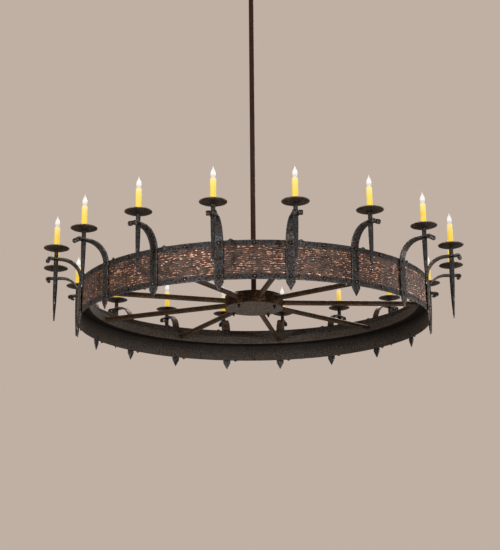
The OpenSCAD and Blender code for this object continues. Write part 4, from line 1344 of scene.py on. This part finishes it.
@dataclass
class Wheel:
    """Hub, spokes, inner ring and the wire channel's floor."""

    ring: RingTree
    plan: Plan = PLAN
    hub_wall: float = 0.005
    hub_top_t: float = 0.006
    rod_hole_r: float = 0.0132
    drum_sides: int = 240
    cover_t: float = 0.005
    cover_sides: int = 180
    floor_t: float = 0.003
    floor_sides: int = 540
    ring_sides: int = 720
    pipe_wall: float = 0.0034
    pipe_sides: int = 28
    weld_sides: int = 44
    bolt_r: float = 0.00635
    bolt_sides: int = 24
    thread_pitch: float = 0.0016
    threads: int = 8
    stud_sides: int = 18
    cover_bolt_r: float = 0.163
    cover_bolt_turn: float = math.radians(54)
    flange_bolt_r: float = 0.0385
    stud_end: float = 0.012
    grip: float = 0.0143
    weld_ripples: int = 22

    def drum(self) -> None:
        """Makes the hub's wall and top plate."""
        plan, hole, r, soft = self.plan, self.rod_hole_r, self.plan.hub_r, 0.0012
        low, high = plan.channel_z + self.cover_t + plan.seat, plan.hub_top_z
        outline = [(x, high - self.hub_top_t) for x in (hole, 0.06, 0.12, r - self.hub_wall)]
        outline += [(r - self.hub_wall, low), (r - soft, low), (r, low + soft)]
        outline += [(r, z) for z in np.linspace(low + soft, high - soft, 14)[1:]]
        outline += [(r - soft, high)] + [(x, high) for x in np.linspace(r - 0.006, hole, 16)]
        rings = spun(outline, self.drum_sides)
        radius = from_axis(rings)
        outer = ease(radius, r - 0.002, r - 0.0002) * ease(high - rings[..., 2], 0, 0.004)
        rings = swelled(rings, 0.0008 * layers(rings, 0.03, 401) * outer)
        on_top = rings[..., 2] > high - 0.0005
        rings[..., 2] += 0.0005 * layers(rings, 0.05, 405) * on_top * ease(radius, 0.06, 0.08)
        pitch = math.tau / plan.spokes
        along = ((around_axis(rings) - plan.arm_angle(1) + pitch / 2) % pitch - pitch / 2) * r
        away = np.hypot(along, rings[..., 2] - plan.spoke_z - plan.spoke_rise) + 0.012 * layers(rings, 0.022, 409)
        rings[..., 2] += plan.ring_z
        draft = Draft().loft(rings, wrap=True, wear=outer * ease(-away, -0.044, -0.024))
        draft.hand_over("hub_wall_and_top", Finish.DRUM, "hub_drum")

    def cover(self) -> None:
        """Makes the round cover under the hub."""
        plan, middle, soft = self.plan, 0.002, 0.0014
        low, high, r = plan.channel_z, plan.channel_z + self.cover_t, plan.hub_r
        outline = [(x, low) for x in (middle, *np.linspace(0.01, r - soft, 22))]
        outline += [(r, low + soft), (r, high - soft)] + [(x, high) for x in (r - soft, 0.12, 0.06, middle)]
        rings = spun(outline, self.cover_sides)
        dents = 0.0006 * layers(rings, 0.04, 411) * (rings[..., 2] < low + 0.0005)
        rings[..., 2] += plan.ring_z + dents
        Draft().loft(rings, wrap=False).hand_over("hub_cover_plate", Finish.COVER, "hub_cover")

    def bolt(self, flip: int) -> Draft:
        """A bolt with a hexagon head, a nut and threads on its end.

        Args:
            flip: 1 where the head is above its grip, -1 where it is below.

        Returns:
            The bolt, whose head rests at the origin.
        """
        r, seat, sides = self.bolt_r, self.plan.seat, self.bolt_sides
        across, head_h, nut_h = 1.72 * r, 1.25 * r, 1.7 * r
        turn = np.arange(sides) * math.tau / sides
        hexagon = across * np.cos(math.pi / 6) / np.cos((turn + math.pi / 6) % (math.pi / 3) - math.pi / 6)
        levels = ((0.90, 0.0), (1.0, 0.12), (1.0, 0.88), (0.90, 1.0))
        draft = Draft()
        for low, height in ((seat, head_h), (-self.grip - seat - nut_h, nut_h)):
            rings = []
            for share, level in levels:
                radius = np.minimum(hexagon, across * (0.90 + 0.1 * (share > 0.9)))
                rise = np.full(sides, low + height * level)
                rings.append(np.stack([radius * np.cos(turn), radius * np.sin(turn), rise], axis=-1))
            draft.loft(np.stack(rings), wrap=False, wear=0.25 * np.array([[s < 1] * sides for s, _ in levels]))
        end = -self.grip - seat - nut_h - self.stud_end
        outline = [(r - 0.0014, end), (r - 0.0005, end + 0.0009)]
        outline += [
            (r - 0.0009 * (step % 2), end + 0.0009 + self.thread_pitch * step / 2)
            for step in range(1, 2 * self.threads)
        ]
        outline += [(r, -self.grip), (r, seat)]
        draft.loft(spun(outline, self.stud_sides), wrap=False, wear=np.zeros((len(outline), self.stud_sides)))
        if flip < 0:
            draft.points = [p * (1.0, -1.0, -1.0) for p in draft.points]
        return draft

    def bolts(self) -> None:
        """Sets the four bolts of the cover and the four of the rod's flange."""
        plan = self.plan
        above = plan.ring_z + plan.channel_z + self.grip
        below = plan.ring_z + plan.hub_top_z - self.hub_top_t
        for name, flip, radius, turn, height in (
            ("cover_bolts", 1, self.cover_bolt_r, self.cover_bolt_turn, above),
            ("flange_bolts", -1, self.flange_bolt_r, math.pi / 4, below),
        ):
            setting = Setting(4, turn, radius, height, spin=Axis.UPWARDS, seed=13)
            self.ring.copies(self.bolt(flip), name, setting, Finish.BLACK, "hub_bolts", crease=35)

    def spokes(self) -> None:
        """Makes the nine pipes between hub and inner ring, with a weld bead at each end."""
        plan = self.plan
        r, low, high = plan.pipe_r, plan.hub_r + plan.seat, plan.inner_in_r - plan.seat
        along = np.linspace(low, high, 46)
        outline = [(r, x) for x in along] + [(r - self.pipe_wall, x) for x in along[[-1, 0]]]
        grid = spun(outline, self.pipe_sides)
        outer = from_axis(grid) > r - 0.001
        rings = swelled(grid, 0.00018 * layers(grid, 0.03, 421) * outer)[..., [2, 0, 1]]
        rings[..., 2] += plan.spoke_rise * (high - rings[..., 0]) / (high - low)
        setting = Setting(plan.spokes, plan.arm_angle(1), height=plan.ring_z + plan.spoke_z)
        self.ring.copies(Draft().loft(rings, wrap=True), "spoke_pipes", setting, Finish.SPOKE, "spokes")
        for name, x, side, rise, seed in (
            ("hub_welds", low, 1, plan.spoke_rise, 431),
            ("ring_welds", high, -1, 0.0, 441),
        ):
            bends = np.radians(range(0, 181, 30))
            bead = [(r + 0.0036 * math.sin(a), side * (0.0048 * (1 - math.cos(a))) / 2) for a in bends]
            grid = spun(bead + [(r - 0.001, side * 0.0046), (r - 0.001, 0.0)], self.weld_sides)
            ripples = np.sin(self.weld_ripples * np.arctan2(grid[..., 1], grid[..., 0]))
            rings = swelled(grid, 0.0007 * ripples + 0.0011 * bumps(grid, 0.011, seed))[..., [2, 0, 1]]
            if side > 0:
                rings[..., 0] += np.sqrt(plan.hub_r**2 - rings[..., 1] ** 2) - plan.hub_r
            draft = Draft().loft(rings, wrap=True, wear=0.35 * ease(ripples, 0.0, 1.0))
            setting = Setting(plan.spokes, plan.arm_angle(1), x, plan.ring_z + plan.spoke_z + rise, seed=seed)
            self.ring.copies(draft, name, setting, Finish.SPOKE, crease=70)

    def inner(self) -> None:
        """Makes the inner ring and the floor of the wire channel."""
        plan, low = self.plan, self.plan.channel_z
        outline = box_outline((plan.inner_in_r, low), (plan.inner_out_r, low + plan.inner_h), 0.0013, (2, 10))
        grid = turned(outline, self.ring_sides)
        grid = swelled(grid, 0.0005 * layers(grid, 0.04, 451))
        grid[..., 2] += plan.ring_z
        Draft().loft(grid, wrap=True).hand_over("inner_ring_bar", Finish.INNER_RING, "inner_ring")
        radii = np.linspace(plan.inner_out_r + 0.0008, plan.shell_in_r - 0.0012, 9)
        outline = [(x, low) for x in radii] + [(x, low + self.floor_t) for x in radii[::-1]]
        grid = turned(outline, self.floor_sides)
        grid[..., 2] += plan.ring_z + 0.0006 * layers(grid * LEVEL, 0.05, 461)
        Draft().loft(grid, wrap=True).hand_over("channel_floor_plate", Finish.CHANNEL, "channel_floor")

    def build(self) -> None:
        """Makes the whole wheel."""
        self.drum()
        self.cover()
        self.bolts()
        self.spokes()
        self.inner()


@dataclass
class Suspension:
    """Canopy, rod and swivel. Most of these nodes stay and get a better finish."""

    canopy_r: float = 0.140
    canopy_h: float = 0.152
    canopy_lip: float = 0.010
    canopy_wall: float = 0.002
    neck_r: float = 0.0297
    bore_r: float = 0.0175
    top_z: float = -0.0005
    canopy_sides: int = 160
    bell_steps: int = 40
    kept: tuple[tuple[Finish, tuple[str, ...]], ...] = (
        (Finish.BLACK, ("ceiling_plate", "swivel_link", "rod_yoke")),
        (Finish.BRIGHT, ("swivel_pins",)),
        (Finish.BROWN, ("downrod", "canopy_collar", "rod_flange")),
        (Finish.SOCKET, ("sockets",)),
    )

    def bell(self, share: float, inset: float) -> tuple[float, float]:
        """Outline of the canopy.

        Args:
            share: Share of its depth.
            inset: How far it is shrunk, for its inner face.

        Returns:
            Radius and height.
        """
        radius = self.neck_r + (self.canopy_r - self.neck_r) * (1 + math.cos(math.pi * share)) / 2 - inset
        drop = self.canopy_lip + share * (self.canopy_h - self.canopy_lip)
        return radius, self.top_z - drop + (inset * share if share > 0 else 0)

    def canopy(self) -> None:
        """Makes the bell-shaped canopy with a rolled lip."""
        steps = np.linspace(0, 1, self.bell_steps)
        top, end, r = self.top_z, self.top_z - self.canopy_h, self.canopy_r
        outline = [(r - 0.0014, top), (r - 0.0002, top - 0.001), (r, top - 0.003)]
        outline += [self.bell(s, 0) for s in steps]
        outline += [(self.bore_r, end), (self.bore_r, end + self.canopy_wall)]
        outline += [self.bell(s, self.canopy_wall) for s in steps[::-1]]
        outline += [(r - self.canopy_wall, top)]
        draft = Draft().loft(spun(outline, self.canopy_sides), wrap=True)
        draft.hand_over("canopy_bell", Finish.BROWN, "canopy", body=Body.CANOPY.value)

    def build(self) -> None:
        """Makes the canopy and dresses the nodes that stay."""
        self.canopy()
        for finish, nodes in self.kept:
            for node in nodes:
                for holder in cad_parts[node].material_slots:
                    holder.material = finish.material
                log.info("%s: kept, dressed in %s", node, finish.material.name)


# Studio


@dataclass(frozen=True)
class Lamp:
    """A soft square lamp that looks at the ring.

    Its angle from the front is in degrees, its height above the ring's middle, distance from the axis and side in
    metres, and its level is the brightness that it gives a white face turned to it.
    """

    name: str
    azimuth: float
    height: float
    distance: float
    size: float
    level: float

    def hang(self) -> None:
        """Hangs the lamp."""
        azimuth, target = math.radians(self.azimuth), Vector((0, 0, PLAN.ring_z + PLAN.band_h / 2))
        place = target + Vector((self.distance * math.sin(azimuth), -self.distance * math.cos(azimuth), self.height))
        data = bpy.data.lights.new(self.name, "AREA")
        data.shape, data.size = "SQUARE", self.size
        data.energy = math.pi**2 * self.level * (place - target).length_squared
        turn = (target - place).to_track_quat("-Z", "Y").to_matrix().to_4x4()
        placed(self.name, data).matrix_world = Matrix.Translation(place) @ turn


@dataclass
class Studio:
    """Camera at the photograph's place, lamps in front, below, beside and behind, plain surroundings and floor."""

    eye: tuple[float, float, float] = (-0.0412, -7.0524, -4.1944)
    heading: float = math.radians(0.143)
    rise: float = math.asin(0.27243)
    roll: float = math.radians(0.484)
    lens: float = 73.285
    sensor: float = 36.0
    reach: float = 200.0
    backdrop: Colour = (192, 176, 164)
    fill: float = 0.07
    floor_z: float = -13.0
    floor_r: float = 60.0
    floor_sides: int = 96
    floor_glow: float = 0.85
    lamps: tuple[Lamp, ...] = (
        Lamp("left_lamp", -30, -0.63, 6.0, 0.45, 0.38),
        Lamp("right_lamp", 27, -0.63, 6.0, 0.45, 0.33),
        Lamp("under_lamp", 0, -6.0, 1.5, 4.0, 0.22),
        Lamp("side_lamp", 100, -0.5, 6.0, 2.0, 0.36),
        Lamp("back_lamp", 165, 4.0, 5.0, 3.0, 0.50),
    )

    def camera(self) -> None:
        """Sets the camera."""
        ahead = math.cos(self.rise)
        forward = Vector((math.sin(self.heading) * ahead, math.cos(self.heading) * ahead, math.sin(self.rise)))
        right = Vector((math.cos(self.heading), -math.sin(self.heading), 0.0))
        up = right.cross(forward)
        across = math.cos(self.roll) * right - math.sin(self.roll) * up
        above = math.sin(self.roll) * right + math.cos(self.roll) * up
        data = bpy.data.cameras.new("camera")
        data.lens, data.sensor_width, data.sensor_fit, data.clip_end = self.lens, self.sensor, "AUTO", self.reach
        camera = placed("camera", data)
        turn = Matrix((across, above, -forward)).transposed()
        camera.matrix_world = Matrix.Translation(self.eye) @ turn.to_4x4()
        bpy.context.scene.camera = camera

    def seen(self, graph: Graph) -> Socket:
        """Tells rays that show a picture, seen straight, in metal or through glass, from those that light.

        Args:
            graph: The graph that gets the nodes.

        Returns:
            1 for the rays that show a picture and 0 for the others.
        """
        path = graph.add("ShaderNodeLightPath").outputs
        straight_or_metal = graph.math("MAXIMUM", path["Is Camera Ray"], path["Is Glossy Ray"])
        return graph.math("MAXIMUM", straight_or_metal, path["Is Transmission Ray"])

    def world(self) -> None:
        """Paints the surroundings one plain colour and lights the object evenly from them."""
        world = bpy.data.worlds.new("studio")
        world.use_nodes = True
        graph = Graph(world.node_tree)
        colour = graph.blend(self.seen(graph), (self.fill, self.fill, self.fill, 1.0), linear(self.backdrop))
        graph.fill(world.node_tree.nodes["Background"], {"Color": colour})
        bpy.context.scene.world = world

    def floor(self) -> None:
        """Lays a wide plain floor far below the chandelier."""
        material, graph, shader, place = new_material("plain_floor")
        shade = graph.spread(graph.noise(place, 3.0, 2.0), 0.3, 0.7, 0.0, 0.12)
        paler = tuple(min(255, c + 6) for c in self.backdrop)
        colour = graph.blend(shade, linear(self.backdrop), linear(paler))
        glow = graph.times(self.seen(graph), self.floor_glow)
        sockets = {"Base Color": colour, "Emission Color": colour, "Emission Strength": glow, "Roughness": 0.9}
        graph.fill(shader, sockets)
        rings = spun([(self.floor_r, self.floor_z - 0.05), (self.floor_r, self.floor_z)], self.floor_sides)
        Draft().loft(rings, wrap=False).make("floor", material)

    def build(self) -> None:
        """Sets camera, light and surroundings."""
        self.camera()
        self.world()
        self.floor()
        for lamp in self.lamps:
            lamp.hang()
        bpy.context.scene.view_settings.view_transform = "Standard"


def main() -> None:
    """Builds the studio and dresses the chandelier, one sub-assembly after another."""
    logging.basicConfig(level=logging.INFO, format="%(name)s: %(message)s")
    Studio().build()
    ring = RingTree()
    for assembly in (Suspension(), Wheel(ring), Band(ring), ForgedArms(), Candles(ring)):
        assembly.build()


if __name__ == "__main__":
    main()
